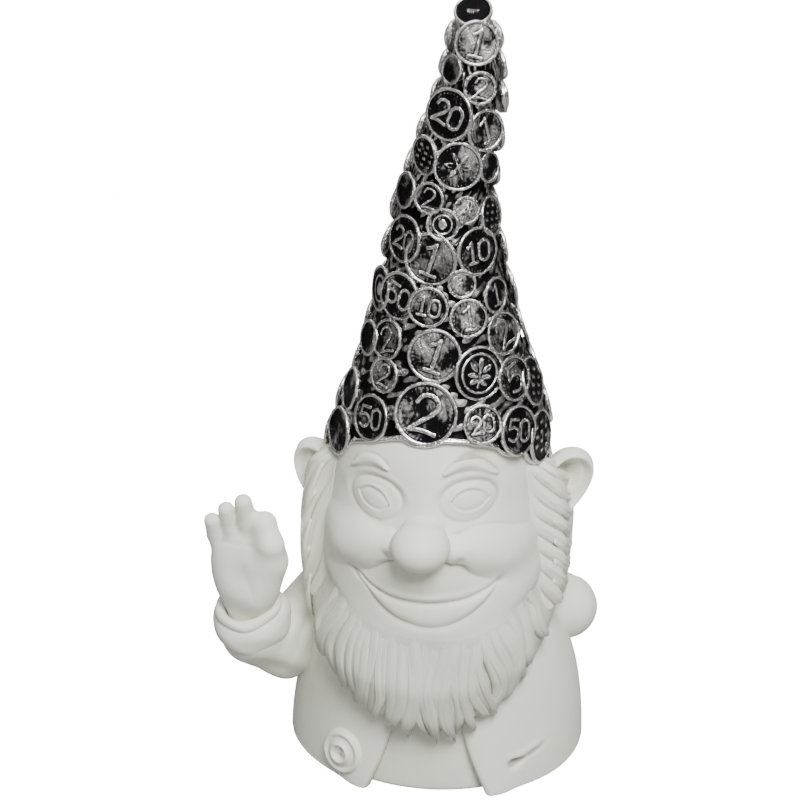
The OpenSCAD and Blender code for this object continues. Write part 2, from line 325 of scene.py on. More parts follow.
def carved(field_of: Callable[[Array, Array, Array], Array], low: Array, high: Array, pitch: float) -> Skin:
    """Closed skin of the places where a distance field is below 0, by surface nets.

    The field is sampled on a grid. Each cell that the surface crosses gets one point, at the mean of the
    crossings of its twelve edges, and each grid edge that is crossed gets one face between the four cells
    round it.

    Args:
        field_of: signed distance in mm from x, y and z.
        low: lowest corner of the grid.
        high: highest corner of the grid.
        pitch: distance between samples.

    Returns:
        The skin.
    """
    counts = np.ceil((np.asarray(high) - low) / pitch).astype(int) + 1
    axes = [low[k] + pitch * np.arange(counts[k]) for k in range(3)]
    value = field_of(*np.meshgrid(*axes, indexing="ij"))
    cells = counts - 1
    total, hits = np.zeros((*cells, 3)), np.zeros(cells)
    corners = [(i, j, k) for i in (0, 1) for j in (0, 1) for k in (0, 1)]

    def at(corner: tuple[int, int, int]) -> Array:
        """The field at one corner of every cell."""
        return value[tuple(slice(c, c + n) for c, n in zip(corner, cells))]

    for a in corners:
        for axis in range(3):
            if a[axis] == 0:
                b = tuple(c + (axis == k) for k, c in enumerate(a))
                va, vb = at(a), at(b)
                cross = (va < 0) != (vb < 0)
                t = np.where(cross, va / np.where(cross, va - vb, 1.0), 0.0)
                spot = [np.full(t.shape, float(c)) + (t if k == axis else 0.0) for k, c in enumerate(a)]
                total += np.stack(spot, -1) * cross[..., None]
                hits += cross
    used = hits > 0
    number = np.full(cells, -1)
    number[used] = np.arange(used.sum())
    where = np.argwhere(used)
    points = low + pitch * (where + total[used] / hits[used][:, None])
    faces = []
    for axis in range(3):
        u, v = (axis + 1) % 3, (axis + 2) % 3
        below = np.take(value, range(counts[axis] - 1), axis) < 0
        above = np.take(value, range(1, counts[axis]), axis) < 0
        spots = np.argwhere(below != above)
        inner = (spots[:, u] > 0) & (spots[:, v] > 0) & (spots[:, u] < cells[u]) & (spots[:, v] < cells[v])
        spots = spots[inner]
        flip = below[tuple(spots.T)]
        du, dv = np.eye(3, dtype=int)[u], np.eye(3, dtype=int)[v]
        ring = np.stack([number[tuple((spots - s).T)] for s in (0 * du, du, du + dv, dv)], -1)
        ring[flip] = ring[flip][:, ::-1]
        faces.append(ring)
    return Skin(points, [np.concatenate(faces)]).outward()


def point_normals(skin: Skin) -> Array:
    """Unit normal at each point: the mean of its triangles' normals, weighted by their area.

    Args:
        skin: the mesh.

    Returns:
        (n, 3) unit vectors.
    """
    tri = skin.triangles()
    a, b, c = (skin.points[tri[:, k]] for k in range(3))
    face = np.cross(b - a, c - a)
    who = tri.T.ravel()
    total = [np.bincount(who, np.tile(face[:, k], 3), len(skin.points)) for k in range(3)]
    return unit(np.stack(total, -1))


def hollows(skin: Skin, rounds: int) -> Array:
    """Depth in mm of each point in a hollow, below 0 on a ridge.

    Each round moves every point to the mean of its neighbours. How far the result lies over the old place,
    along the normal, is the depth.

    Args:
        skin: the mesh.
        rounds: number of rounds; more rounds see wider hollows.

    Returns:
        One number per point.
    """
    tri = skin.triangles()
    src = tri[:, [0, 1, 2]].ravel()
    dst = tri[:, [1, 2, 0]].ravel()
    n = len(skin.points)
    share = 1.0 / np.maximum(np.bincount(src, minlength=n), 1)[:, None]
    moved = skin.points.copy()
    for _ in range(rounds):
        moved = np.stack([np.bincount(src, moved[dst, k], n) for k in range(3)], -1) * share
    return np.einsum("ij,ij->i", moved - skin.points, point_normals(skin))


class Slot(Enum):
    """The record's material slots."""

    FIGURE = "figure_white"
    BASE = "base_white"
    HAT = "hat_patina"
    COIN = "coin_silver"


def make_piece(name: str, skin: Skin, finish: Material, rounds: int = 8) -> None:
    """Makes the Blender object of one piece, in metres, riding on the body and standing for its CAD node.

    Args:
        name: the CAD node's name; the piece's own name has _look added.
        skin: its mesh.
        finish: its material.
        rounds: how wide the hollows are that the finish darkens.
    """
    skin.marks["hollow"] = hollows(skin, rounds)
    mesh = bpy.data.meshes.new(name)
    mesh.vertices.add(len(skin.points))
    mesh.vertices.foreach_set("co", (skin.points * MM).astype(np.float32).ravel())
    corners = np.concatenate([f.ravel() for f in skin.faces]).astype(np.int32)
    sizes = np.concatenate([np.full(len(f), f.shape[1]) for f in skin.faces]).astype(np.int32)
    mesh.loops.add(len(corners))
    mesh.loops.foreach_set("vertex_index", corners)
    mesh.polygons.add(len(sizes))
    mesh.polygons.foreach_set("loop_start", np.concatenate([[0], np.cumsum(sizes)[:-1]]).astype(np.int32))
    mesh.update(calc_edges=True)
    mesh.polygons.foreach_set("use_smooth", np.ones(len(sizes), bool))
    mesh.validate()
    for key, values in skin.marks.items():
        mesh.attributes.new(key, "FLOAT", "POINT").data.foreach_set("value", values.astype(np.float32))
    mesh.materials.append(finish)
    piece = bpy.data.objects.new(name + "_look", mesh)
    bpy.context.scene.collection.objects.link(piece)
    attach(piece, BODY)
    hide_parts(name)
    LOG.info("%s: %d points, %d faces", name, len(skin.points), len(sizes))


# ---- finishes ----


def fill(node: Node, **values: object) -> None:
    """Sets a node's inputs to plain values, by name."""
    for key, value in values.items():
        node.inputs[key].default_value = value


class Wiring:
    """Short calls for making and joining the nodes of a material or a node group."""

    def __init__(self, tree: Tree) -> None:
        """Takes the node tree that it adds to."""
        self.tree = tree

    def add(self, kind: str, **settings: object) -> Node:
        """Adds a node of a kind, with its settings.

        Args:
            kind: Blender's name for the node's type.
            settings: the node's properties and their values.

        Returns:
            The node.
        """
        node = self.tree.nodes.new(kind)
        for key, value in settings.items():
            setattr(node, key, value)
        return node

    def feed(self, into: Socket, value: object) -> None:
        """Joins an output to an input, or sets the input to a plain value.

        Args:
            into: the input.
            value: an output or a plain value.
        """
        if isinstance(value, Socket):
            self.tree.links.new(value, into)
        else:
            into.default_value = value

    def group(self, tree: Tree, **values: object) -> Node:
        """Adds a node group with its inputs' values.

        Args:
            tree: the group.
            values: plain values by the inputs' names.

        Returns:
            The group's node.
        """
        node = self.add("ShaderNodeGroup", node_tree=tree)
        fill(node, **values)
        return node

    def place(self) -> Socket:
        """Object coordinates."""
        return self.add("ShaderNodeTexCoord").outputs["Object"]

    def mark(self, name: str) -> Socket:
        """A value stored at the mesh's points."""
        return self.add("ShaderNodeAttribute", attribute_name=name).outputs["Fac"]

    def noise(self, scale: float, detail: float = 3.0, rough: float = 0.5, warp: float = 0.0,
              at: Socket | None = None) -> Socket:
        """Cloudy noise from 0 to 1 on Object coordinates.

        Args:
            scale: waves per metre.
            detail: octaves of finer noise.
            rough: how strong the finer noise is.
            warp: how far it is warped.
            at: coordinates in place of Object coordinates.

        Returns:
            The noise.
        """
        node = self.add("ShaderNodeTexNoise")
        self.feed(node.inputs["Vector"], at or self.place())
        fill(node, Scale=scale, Detail=detail, Roughness=rough, Distortion=warp)
        return node.outputs["Fac"]

    def streaks(self, scale: float, stretch: Point, turn: Point) -> Socket:
        """Noise drawn out along one direction, for brush marks and scratches.

        Args:
            scale: waves per metre.
            stretch: scale along each axis, least along the streaks.
            turn: rotation of the axes in radians.

        Returns:
            The noise.
        """
        mapping = self.add("ShaderNodeMapping")
        self.feed(mapping.inputs["Vector"], self.place())
        fill(mapping, Scale=stretch, Rotation=turn)
        return self.noise(scale, 4.0, 0.6, 1.6, mapping.outputs["Vector"])

    def ramp(self, value: object, low: float, high: float,
             to_low: float = 0.0, to_high: float = 1.0) -> Socket:
        """Takes low to to_low and high to to_high, smoothly, and holds the ends.

        Args:
            value: the value.
            low: value that becomes to_low.
            high: value that becomes to_high.
            to_low: result at low.
            to_high: result at high.

        Returns:
            The result.
        """
        node = self.add("ShaderNodeMapRange", interpolation_type="SMOOTHSTEP", clamp=True)
        for key, number in (("From Min", low), ("From Max", high), ("To Min", to_low), ("To Max", to_high)):
            node.inputs[key].default_value = number
        self.feed(node.inputs["Value"], value)
        return node.outputs["Result"]

    def times(self, a: object, b: object) -> Socket:
        """Product, held between 0 and 1."""
        return self.sum("MULTIPLY", a, b)

    def plus(self, *parts: object) -> Socket:
        """Total of two or more values, each step held between 0 and 1.

        Args:
            parts: the values.

        Returns:
            The total.
        """
        total = parts[-1]
        for part in reversed(parts[:-1]):
            total = self.sum("ADD", part, total)
        return total

    def sum(self, kind: str, a: object, b: object) -> Socket:
        """One sum of a Math node, held between 0 and 1.

        Args:
            kind: Blender's name for the operation.
            a: first value.
            b: second value.

        Returns:
            The result.
        """
        node = self.add("ShaderNodeMath", operation=kind, use_clamp=True)
        self.feed(node.inputs[0], a)
        self.feed(node.inputs[1], b)
        return node.outputs[0]

    def mix(self, share: object, a: object, b: object) -> Socket:
        """Colour a at share 0, colour b at share 1.

        Args:
            share: share of b.
            a: first colour.
            b: second colour.

        Returns:
            The colour.
        """
        node = self.add("ShaderNodeMix", data_type="RGBA")
        self.feed(node.inputs[0], share)
        self.feed(node.inputs[6], a)
        self.feed(node.inputs[7], b)
        return node.outputs[2]


def grey(tone: float) -> Colour:
    """An even grey of a given tone."""
    return (tone, tone, tone, 1.0)


def new_group(name: str, takes: dict[str, object], gives: dict[str, str]) -> tuple[Tree, Wiring, dict, Node]:
    """Starts a node group with named inputs and outputs.

    Args:
        name: the group's name.
        takes: each input's name and its plain value, a number or a colour.
        gives: each output's name and its socket type.

    Returns:
        The group, its wiring, its inputs as sockets by name, and its output node.
    """
    tree = bpy.data.node_groups.new(name, "ShaderNodeTree")
    for key, value in takes.items():
        kind = "NodeSocketColor" if isinstance(value, tuple) else "NodeSocketFloat"
        tree.interface.new_socket(key, in_out="INPUT", socket_type=kind).default_value = value
    for key, kind in gives.items():
        tree.interface.new_socket(key, in_out="OUTPUT", socket_type=kind)
    wires = Wiring(tree)
    start = wires.add("NodeGroupInput")
    return tree, wires, {k: start.outputs[k] for k in takes}, wires.add("NodeGroupOutput")


def chalk_group() -> Tree:
    """Matte cast body: broad drifts of two whites, painted shade in the hollows, and a fine grain with small
    pits.

    Returns:
        The group.
    """
    takes = {"Light": grey(0.5), "Shade": grey(0.5), "Grime": grey(0.5), "Reach": 0.6}
    gives = {"Colour": "NodeSocketColor", "Rough": "NodeSocketFloat", "Grain": "NodeSocketFloat"}
    tree, w, into, end = new_group("chalk_body", takes, gives)
    drift = w.ramp(w.noise(38.0, 4.0, 0.6, 0.5), 0.35, 0.7)
    body = w.mix(drift, into["Light"], into["Shade"])
    # painted shade: the mesh's hollows are darkened towards the shade colour, for the shade that falls in
    # them
    deep = w.times(w.ramp(w.mark("hollow"), 0.03, 0.5), into["Reach"])
    spread = w.times(deep, w.ramp(w.noise(260.0, 3.0), 0.2, 0.6, 0.65, 1.0))
    w.feed(end.inputs["Colour"], w.mix(spread, body, into["Grime"]))
    fine = w.noise(1500.0, 5.0, 0.65)
    rough = w.plus(w.times(fine, 0.5), w.times(drift, 0.4))
    w.feed(end.inputs["Rough"], w.ramp(rough, 0.0, 1.0, 0.5, 0.8))
    pits = w.ramp(w.noise(520.0, 2.0), 0.62, 0.74)
    grain = w.plus(w.times(fine, 0.5), w.times(drift, 0.3))
    w.feed(end.inputs["Grain"], w.sum("SUBTRACT", grain, w.times(pits, 0.25)))
    return tree


def plate_group() -> Tree:
    """Silver plate under black patina, which stays in the low places and is rubbed off in streaks.

    Returns:
        The group.
    """
    takes = {"Silver": grey(0.5), "Patina": grey(0.5), "Rub": 0.5}
    gives = {"Colour": "NodeSocketColor"} | {key: "NodeSocketFloat" for key in ("Metal", "Rough", "Relief")}
    tree, w, into, end = new_group("worn_plate", takes, gives)
    streak = w.streaks(260.0, (1.0, 1.0, 0.4), (0.5, 0.75, 0.2))
    cross = w.streaks(420.0, (0.4, 1.0, 1.0), (0.2, 0.7, 0.9))
    blot = w.noise(150.0, 4.0, 0.6, 0.6)
    uneven = w.plus(w.times(streak, 0.45), w.times(cross, 0.25), w.times(blot, 0.3))
    rubbed = w.times(w.ramp(uneven, 0.36, 0.64), into["Rub"])
    ridge = w.times(w.ramp(w.mark("hollow"), -0.01, -0.10), 0.5)
    low = w.ramp(w.mark("hollow"), 0.01, 0.10)
    total = w.plus(w.times(w.mark("relief"), 0.7), w.times(rubbed, 0.45), ridge)
    bright = w.times(w.ramp(total, 0.36, 0.84), w.sum("SUBTRACT", 1.0, w.times(low, 0.95)))
    flecks = w.ramp(w.noise(900.0, 5.0, 0.7), 0.52, 0.66)
    w.feed(end.inputs["Colour"], w.mix(bright, into["Patina"], into["Silver"]))
    w.feed(end.inputs["Metal"], w.ramp(bright, 0.02, 0.25))
    w.feed(end.inputs["Rough"], w.plus(w.ramp(bright, 0.0, 1.0, 0.42, 0.12), w.times(cross, 0.12)))
    w.feed(end.inputs["Relief"], w.plus(w.times(streak, 0.35), w.times(blot, 0.5), w.times(flecks, 0.1)))
    return tree


@dataclass(frozen=True)
class ChalkFinish:
    """Matte warm white of the cast figure."""

    name: str
    light: Colour = (0.79, 0.80, 0.69, 1.0)
    shade: Colour = (0.75, 0.76, 0.65, 1.0)
    # colour of the painted shade in the hollows; reach below sets how strong that painted shade is
    hollow_shade: Colour = (0.36, 0.35, 0.29, 1.0)
    reach: float = 0.8
    grain_mm: float = 0.12
    specular: float = 0.35

    def make(self, group: Tree) -> Material:
        """Builds the material round the shared group.

        Args:
            group: what chalk_group gives.

        Returns:
            The material.
        """
        material, w, shader = new_material(self.name)
        body = w.group(group, Light=self.light, Shade=self.shade, Grime=self.hollow_shade, Reach=self.reach)
        w.feed(shader.inputs["Base Color"], body.outputs["Colour"])
        w.feed(shader.inputs["Roughness"], body.outputs["Rough"])
        shader.inputs["Specular IOR Level"].default_value = self.specular
        add_bump(w, shader, body.outputs["Grain"], self.grain_mm)
        return material


@dataclass(frozen=True)
class PlateFinish:
    """Silver plate with black patina."""

    name: str
    silver: Colour = (0.74, 0.73, 0.705, 1.0)
    patina: Colour = (0.0022, 0.0022, 0.0026, 1.0)
    rub: float = 0.5
    specular: float = 0.06
    scratch_mm: float = 0.12

    def make(self, group: Tree) -> Material:
        """Builds the material round the shared group.

        Args:
            group: what plate_group gives.

        Returns:
            The material.
        """
        material, w, shader = new_material(self.name)
        plate = w.group(group, Silver=self.silver, Patina=self.patina, Rub=self.rub)
        w.feed(shader.inputs["Base Color"], plate.outputs["Colour"])
        w.feed(shader.inputs["Metallic"], plate.outputs["Metal"])
        shader.inputs["Specular IOR Level"].default_value = self.specular
        w.feed(shader.inputs["Roughness"], plate.outputs["Rough"])
        add_bump(w, shader, plate.outputs["Relief"], self.scratch_mm)
        return material


def new_material(name: str) -> tuple[Material, Wiring, Node]:
    """Starts a material and gives it, its wiring and its Principled shader.

    Args:
        name: the material's name.

    Returns:
        The material, its wiring and its shader.
    """
    material = bpy.data.materials.new(name)
    material.use_nodes = True
    return material, Wiring(material.node_tree), material.node_tree.nodes["Principled BSDF"]


def add_bump(wires: Wiring, shader: Node, height: Socket, depth_mm: float) -> None:
    """Feeds a height into the shader's normal.

    Args:
        wires: the material's wiring.
        shader: its shader.
        height: height from 0 to 1.
        depth_mm: how deep the full height is.
    """
    bump = wires.add("ShaderNodeBump")
    bump.inputs["Strength"].default_value = 1.0
    bump.inputs["Distance"].default_value = depth_mm * MM
    wires.feed(bump.inputs["Height"], height)
    wires.feed(shader.inputs["Normal"], bump.outputs["Normal"])


# The beard's two whites are darker than the figure's: painted shade for the shade that lies over the beard.
BEARD_SHADED_LIGHT: Colour = (0.64, 0.65, 0.56, 1.0)
BEARD_SHADED_DARK: Colour = (0.57, 0.58, 0.495, 1.0)
BASE_LIGHT: Colour = (0.7, 0.695, 0.66, 1.0)


@dataclass
class Finishes:
    """Every material of the gnome."""

    figure: Material
    beard: Material
    base: Material
    hat: Material
    coin: Material

    @staticmethod
    def make() -> "Finishes":
        """Builds the shared groups and the materials.

        Returns:
            The finishes.
        """
        chalk, plate = chalk_group(), plate_group()
        return Finishes(
            figure=ChalkFinish("figure_white").make(chalk),
            # beard: the figure's white darkened as painted shade, with stronger painted shade in its hollows
            beard=ChalkFinish("beard_white_painted_shade", BEARD_SHADED_LIGHT, BEARD_SHADED_DARK, reach=1.0).make(chalk),
            base=ChalkFinish("base_white", BASE_LIGHT, grain_mm=0.3).make(chalk),
            hat=PlateFinish("hat_patina", rub=0.4, scratch_mm=1.0).make(plate),
            coin=PlateFinish("coin_silver", rub=1.0, scratch_mm=0.9).make(plate),
        )


# ---- forms shared by several pieces ----


@dataclass(frozen=True)
class RingForm:
    """A body made of level rings. A station is z, centre x, centre y, half width, half depth in front, half
    depth behind, and the power of the ring's outline: 2 is an ellipse, more is squarer."""

    stations: tuple[tuple[float, ...], ...]

    def at(self, z: Array) -> list[Array]:
        """Centre x, centre y, half width, half depths and power at heights z."""
        table = np.array(self.stations)
        return list(np.moveaxis(through(table[:, 0], table[:, 1:], z), -1, 0))

    def point(self, angle: Array, z: Array, inset: Array = 0.0) -> Array:
        """Point of the form at an angle and a height, lying inset under its surface.

        x = cx + rx * sin(angle)^(2/p) and y = cy - ry * cos(angle)^(2/p), with signs kept.

        Args:
            angle: degrees from the front.
            z: height.
            inset: depth under the surface.

        Returns:
            (..., 3) points.
        """
        angle, z = np.broadcast_arrays(np.radians(angle), np.asarray(z, float))
        cx, cy, rx, front, behind, p = self.at(z)
        ry = np.where(np.cos(angle) > 0, front, behind)
        x = cx + (rx - inset) * lean(np.sin(angle), 2 / p)
        y = cy - (ry - inset) * lean(np.cos(angle), 2 / p)
        return np.stack([x, y, z], -1)

    def normal(self, angle: Array, z: Array) -> Array:
        """Unit normal of the form, from points half a degree and half a millimetre apart.

        Args:
            angle: degrees from the front.
            z: height.

        Returns:
            (..., 3) unit vectors.
        """
        across = self.point(angle + 0.5, z) - self.point(angle - 0.5, z)
        up = self.point(angle, z + 0.5) - self.point(angle, z - 0.5)
        return unit(np.cross(across, up))

    def angle_of(self, x: Array, z: Array) -> Array:
        """Angle at which the front half of the form has a given x at height z.

        Args:
            x: place across.
            z: height.

        Returns:
            Degrees from the front.
        """
        cx, _, rx, _, _, p = self.at(np.asarray(z, float))
        share = np.clip((x - cx) / rx, -0.985, 0.985)
        return np.degrees(np.arcsin(lean(share, 1.0) * np.abs(share) ** (p / 2 - 1)))


HEAD = RingForm((
    (60, 2, 0, 42, 53, 33, 2.2), (72, 1.5, 0, 48, 60, 37, 2.3), (79, 1, 0, 48.8, 61, 41, 2.4),
    (84, 1, 0, 48.8, 60.6, 43, 2.4), (90, 1, 0, 48.8, 59.6, 44.5, 2.4), (98, 1, 0, 48.5, 58.2, 46, 2.4),
    (110, 0, 0, 48, 57, 47, 2.3), (122, 0, 0, 47.5, 56, 47, 2.2), (134, 0, 0, 46.5, 52, 46, 2.1),
    (144, 0, 0, 45, 49.5, 44, 2.1), (152, 0, 0, 43, 48, 42, 2), (158, 0, 0, 41, 45.5, 40, 2),
    (164, 1, 0, 38.5, 42, 38, 2), (172, 2, 0, 34, 35, 34, 2), (180, 2, 0, 26, 26, 26, 2),
    (186, 3, 0, 15, 15, 15, 2), (188.5, 3, 0, 4, 4, 4, 2),
))

MANE = RingForm((
    (30, 4, -27, 24, 32, 20, 2), (34, 4, -26, 28, 35, 20, 2), (42, 2, -18, 39, 46, 20, 2.2),
    (50, 1, -10, 47, 55, 26, 2.2), (60, 0, -4, 53, 62, 34, 2.2), (72, 0, 0, 56, 66, 44, 2.3),
    (88, 0, 0, 58, 64, 49, 2.3), (104, 0, 0, 58.5, 60, 51, 2.3), (118, 0, 0, 58, 56, 51, 2.2),
    (130, 0, 0, 56, 50, 50, 2.2), (142, 0, 0, 52, 46, 48, 2.2), (150, 0, 0, 46, 40, 44, 2.2),
))

COAT_HALF_WIDTH = 67.5
COAT_DEPTH_SHARE = 0.85
COAT_DOME = 110.0
COAT_TOP = 80.0
COAT_THICK = 5.0
COAT_MIDDLE_X = 0.6
RIM_MIDDLE_Z = 138.5
RIM_SLOPE = 26.6


def coat_width(z: Array) -> Array:
    """Half width of the coat at height z: a dome, 67.5 * sqrt(1 - (z / 110)^1.8)."""
    return COAT_HALF_WIDTH * np.sqrt(1 - (np.clip(z, 0, COAT_TOP + 10) / COAT_DOME) ** 1.8)


def coat_point(angle: Array, z: Array, inset: Array = 0.0) -> Array:
    """Point on the coat's dome at an angle and height, lying inset under its surface.

    Args:
        angle: degrees from the front.
        z: height.
        inset: depth under the surface.

    Returns:
        (..., 3) points.
    """
    angle, z = np.broadcast_arrays(np.radians(angle), np.asarray(z, float))
    w = coat_width(z)
    x = COAT_MIDDLE_X + (w - inset) * np.sin(angle)
    y = -(w * COAT_DEPTH_SHARE - inset) * np.cos(angle)
    return np.stack([x, y, z], -1)


def rounded(distance: Array, radius: float) -> Array:
    """Share by which an edge is rounded off: 1 on the edge, 0 from the rounding's radius inwards."""
    return 1 - np.sqrt(1 - (1 - np.clip(distance / radius, 0, 1)) ** 2)


def rim_height(angle: Array) -> Array:
    """Height of the hat's rim: high in front, low behind."""
    return RIM_MIDDLE_Z + RIM_SLOPE * np.cos(np.radians(angle))


def level_rings(x: Array, y: Array, sizes: Sequence[Pair]) -> list[Array]:
    """Level rings of one outline: one ring for each pair of a radius and a height."""
    return [np.stack([radius * x, radius * y, np.full_like(x, height)], -1) for radius, height in sizes]


# ---- body ----


@dataclass
class Body:
    """Torso, base plate, coat and button."""

    finishes: Finishes
    gap_low: float = 25.0
    gap_high: float = 12.0
    button_angle: float = -33.0
    button_z: float = 14.5
    button_radius: float = 10.5
    hole_angle: float = 37.5
    hole_z: float = 13.2
    hole_radius: float = 52.0
    hole_tilt: float = 17.0
    edge_roll: float = 2.4
    collar: tuple = ((24, 79), (24, 94), (20.5, 94), (20.5, 74))

    def opening(self, z: Array, side: int) -> Array:
        """Angle of the coat's front edge at height z, on the left side (1) or the right side (-1).

        Args:
            z: height.
            side: 1 or -1.

        Returns:
            Degrees from the front.
        """
        x = through([0, 30, 45, 80], [self.gap_low, 15.0, 13.0, self.gap_high], z)
        x = x + (2.5 if side > 0 else 0.0)
        return np.degrees(np.arcsin(np.clip(x / coat_width(z), -1, 1)))

    def torso(self) -> None:
        """The hollow torso: a wall carried round the dome, with the belly's soft swell in front."""
        heights = np.concatenate([[0.0], np.linspace(0.8, COAT_TOP - 2, 60)])
        angle = np.linspace(-180, 180, 260, endpoint=False)
        a, z = np.meshgrid(angle, heights)
        swell = 1.0 * bell(a, 24.0) * bell(z - 22, 20.0)
        outer = coat_point(a, z, COAT_THICK + 0.2 + 0.8 * smooth(1.2, 0, z) - swell)
        inner = coat_point(a, z, COAT_THICK + 3.6)
        neck = np.radians(angle)
        collar = level_rings(np.sin(neck), -np.cos(neck), self.collar)
        rings = np.concatenate([outer, collar, inner[::-1]])
        make_piece("torso_shell", hoop(rings), self.finishes.figure)

    def coat(self) -> None:
        """The coat: a thick sheet round the torso with rounded front edges, flared corners, a few soft folds,
        and a slanting buttonhole with the crease that pulls from it."""
        heights = np.concatenate([np.linspace(0, 3, 7), np.linspace(3.6, COAT_TOP, 76)])
        u, z = np.meshgrid(np.linspace(0, 1, 380), heights)
        w = u - 0.105 * np.sin(2 * np.pi * u)
        start, end = self.opening(z, 1), 360 - self.opening(z, -1)
        angle = start + (end - start) * w
        reach = np.radians(np.minimum(angle - start, end - angle)) * coat_width(z) * 0.92
        inset = self.edge_roll * rounded(reach, self.edge_roll) * 0.8
        inset = inset + 1.4 * rounded(z, 1.6)
        inset = inset - 2.6 * bell(reach, 11.0) * bell(z, 15.0)
        inset = inset - 0.7 * bell(reach - 7, 5.0) * smooth(60, 20, z)
        turn = np.radians(angle)
        folds = 0.8 * np.sin(3 * turn + 0.05 * z) * smooth(0.2, 0.6, np.sin(turn / 2)) * smooth(70, 30, z)
        inset = inset - folds + self.buttonhole(angle, z)
        outer = coat_point(angle, z, inset)
        lift = 2.2 * bell(reach, 9.0) * bell(z, 12.0)
        inner = coat_point(angle, z, COAT_THICK - lift)
        make_piece("coat", slab(outer, inner), self.finishes.figure, 10)

    def buttonhole(self, angle: Array, z: Array) -> Array:
        """Depth of the buttonhole and its crease: a slanting drop-shaped hollow that runs out into a fold.

        Args:
            angle: degrees from the front.
            z: height.

        Returns:
            Depth in mm.
        """
        s = np.radians(angle - self.hole_angle) * self.hole_radius
        along, across = swung(s, z - self.hole_z, math.radians(self.hole_tilt))
        hole = smooth(1.3, 0.3, np.hypot(along / 4.0, across / (2.3 - 0.3 * np.clip(along, -4, 4))))
        fold = bell(across - 0.4, 1.1) * smooth(2, 6, along) * smooth(17, 8, along)
        brow = bell(across - 3.0, 1.5) * smooth(-5, 2, along) * smooth(16, 7, along)
        return 3.0 * hole + 0.8 * fold - 0.7 * brow

    def button(self) -> None:
        """The button: a shallow dome with a rolled inner ring round two holes, on a soft pad of cloth."""
        r = self.button_radius
        spokes = np.radians(np.arange(0, 360, 3.75))
        rho = np.concatenate([[1.0, 0.995, 0.98], np.linspace(0.955, 0.04, 34)])
        p, q = np.meshgrid(spokes, rho)
        x, y = q * np.cos(p), q * np.sin(p)
        height = 2.6 * np.sqrt(np.clip(1 - q ** 4, 0, 1))
        height = height + 0.7 * bell(q - 0.86, 0.1) - 0.5 * bell(q - 0.66, 0.09)
        height = height + 1.5 * bell(q - 0.4, 0.08) - 0.4 * smooth(0.36, 0.26, q)
        for side in (-1, 1):
            height = height - 1.7 * smooth(0.15, 0.06, np.hypot(x - 0.03 * side, (y - 0.16 * side) * 0.9))
        top = np.stack([r * x, r * y, height], -1)
        low = level_rings(np.cos(spokes), np.sin(spokes), ((0.2 * r, -3), (0.96 * r, -3), (r, -2)))
        skin = tube(np.concatenate([low, top]))
        place = coat_point(np.array(self.button_angle), np.array(self.button_z))
        a = math.radians(self.button_angle)
        out = unit(np.array([math.sin(a) * COAT_DEPTH_SHARE, -math.cos(a), 0.12]))
        skin.points = placed(skin.points, place + out * 0.3, out)
        make_piece("coat_button", skin, self.finishes.figure)

    def build(self, frame: dict) -> None:
        """Makes the body's pieces and dresses the base plate, whose CAD shape is right as it is.
        """
        self.torso()
        self.coat()
        self.button()
        plate = frame["nodes"]["base_plate"]
        plate.data.materials.clear()
        plate.data.materials.append(self.finishes.base)


def placed(points: Array, place: Array, out: Array, turn: float = 0.0) -> Array:
    """Moves points from their own x, y, z to a place where z points outwards and y points up.

    Args:
        points: (n, 3) local points.
        place: where their origin goes.
        out: unit vector that their z follows.
        turn: degrees by which they are turned about out.

    Returns:
        The moved points.
    """
    right = unit(np.cross(np.array([0.0, 0.0, 1.0]), out))
    up = np.cross(out, right)
    c, s = math.cos(math.radians(turn)), math.sin(math.radians(turn))
    x, y = points[:, 0] * c - points[:, 1] * s, points[:, 0] * s + points[:, 1] * c
    return place + x[:, None] * right + y[:, None] * up + points[:, 2:] * out


# ---- head ----


def mound(x: Array, z: Array, middle: Pair, size: Pair) -> Array:
    """A rise of 1 at a middle that falls off over the two sizes, across and up."""
    return bell(np.hypot((x - middle[0]) / size[0], (z - middle[1]) / size[1]), 1.0)


@dataclass(frozen=True)
class Eye:
    """Sizes of one eye in mm: the lid crease's middle and half sizes, and the opening's."""

    crease: Pair
    crease_size: Pair
    middle: Pair
    size: Pair
    slant: float

    def height(self, x: Array, z: Array) -> Array:
        """Relief of the eye: a lid dome inside a crease, and in its almond opening a blank ball set back.

        Args:
            x: place across.
            z: height.

        Returns:
            Relief in mm.
        """
        q = np.hypot((x - self.crease[0]) / self.crease_size[0], (z - self.crease[1]) / self.crease_size[1])
        upper = smooth(-4, 4, z - self.crease[1])
        relief = 1.4 * np.clip(1 - q ** 2, 0, 1) ** 0.75 - (0.22 + 0.4 * upper) * bell(q - 1.03, 0.11)
        relief = relief + 0.35 * upper * bell(q - 1.25, 0.16)
        a, b = swung(x - self.middle[0], z - self.middle[1], math.radians(self.slant))
        w, h = self.size
        arch = 1 - np.abs(a / w) ** 2.5
        inside = np.where(b > 0, h * arch - b, 0.9 * h * arch + b)
        slit = smooth(-0.3, 0.5, inside)
        ball = np.clip(1 - (a / (w * 1.02)) ** 2 - (b / (h * 1.1)) ** 2, 0, 1) ** 0.5
        edge = bell(inside + 0.85, 0.9) * smooth(1.35, 0.95, np.abs(a) / w) * (0.35 + 0.35 * upper)
        return relief + 0.8 * edge - 0.25 * bell(inside - 0.15, 0.75) - slit * (0.85 - 1.25 * ball)


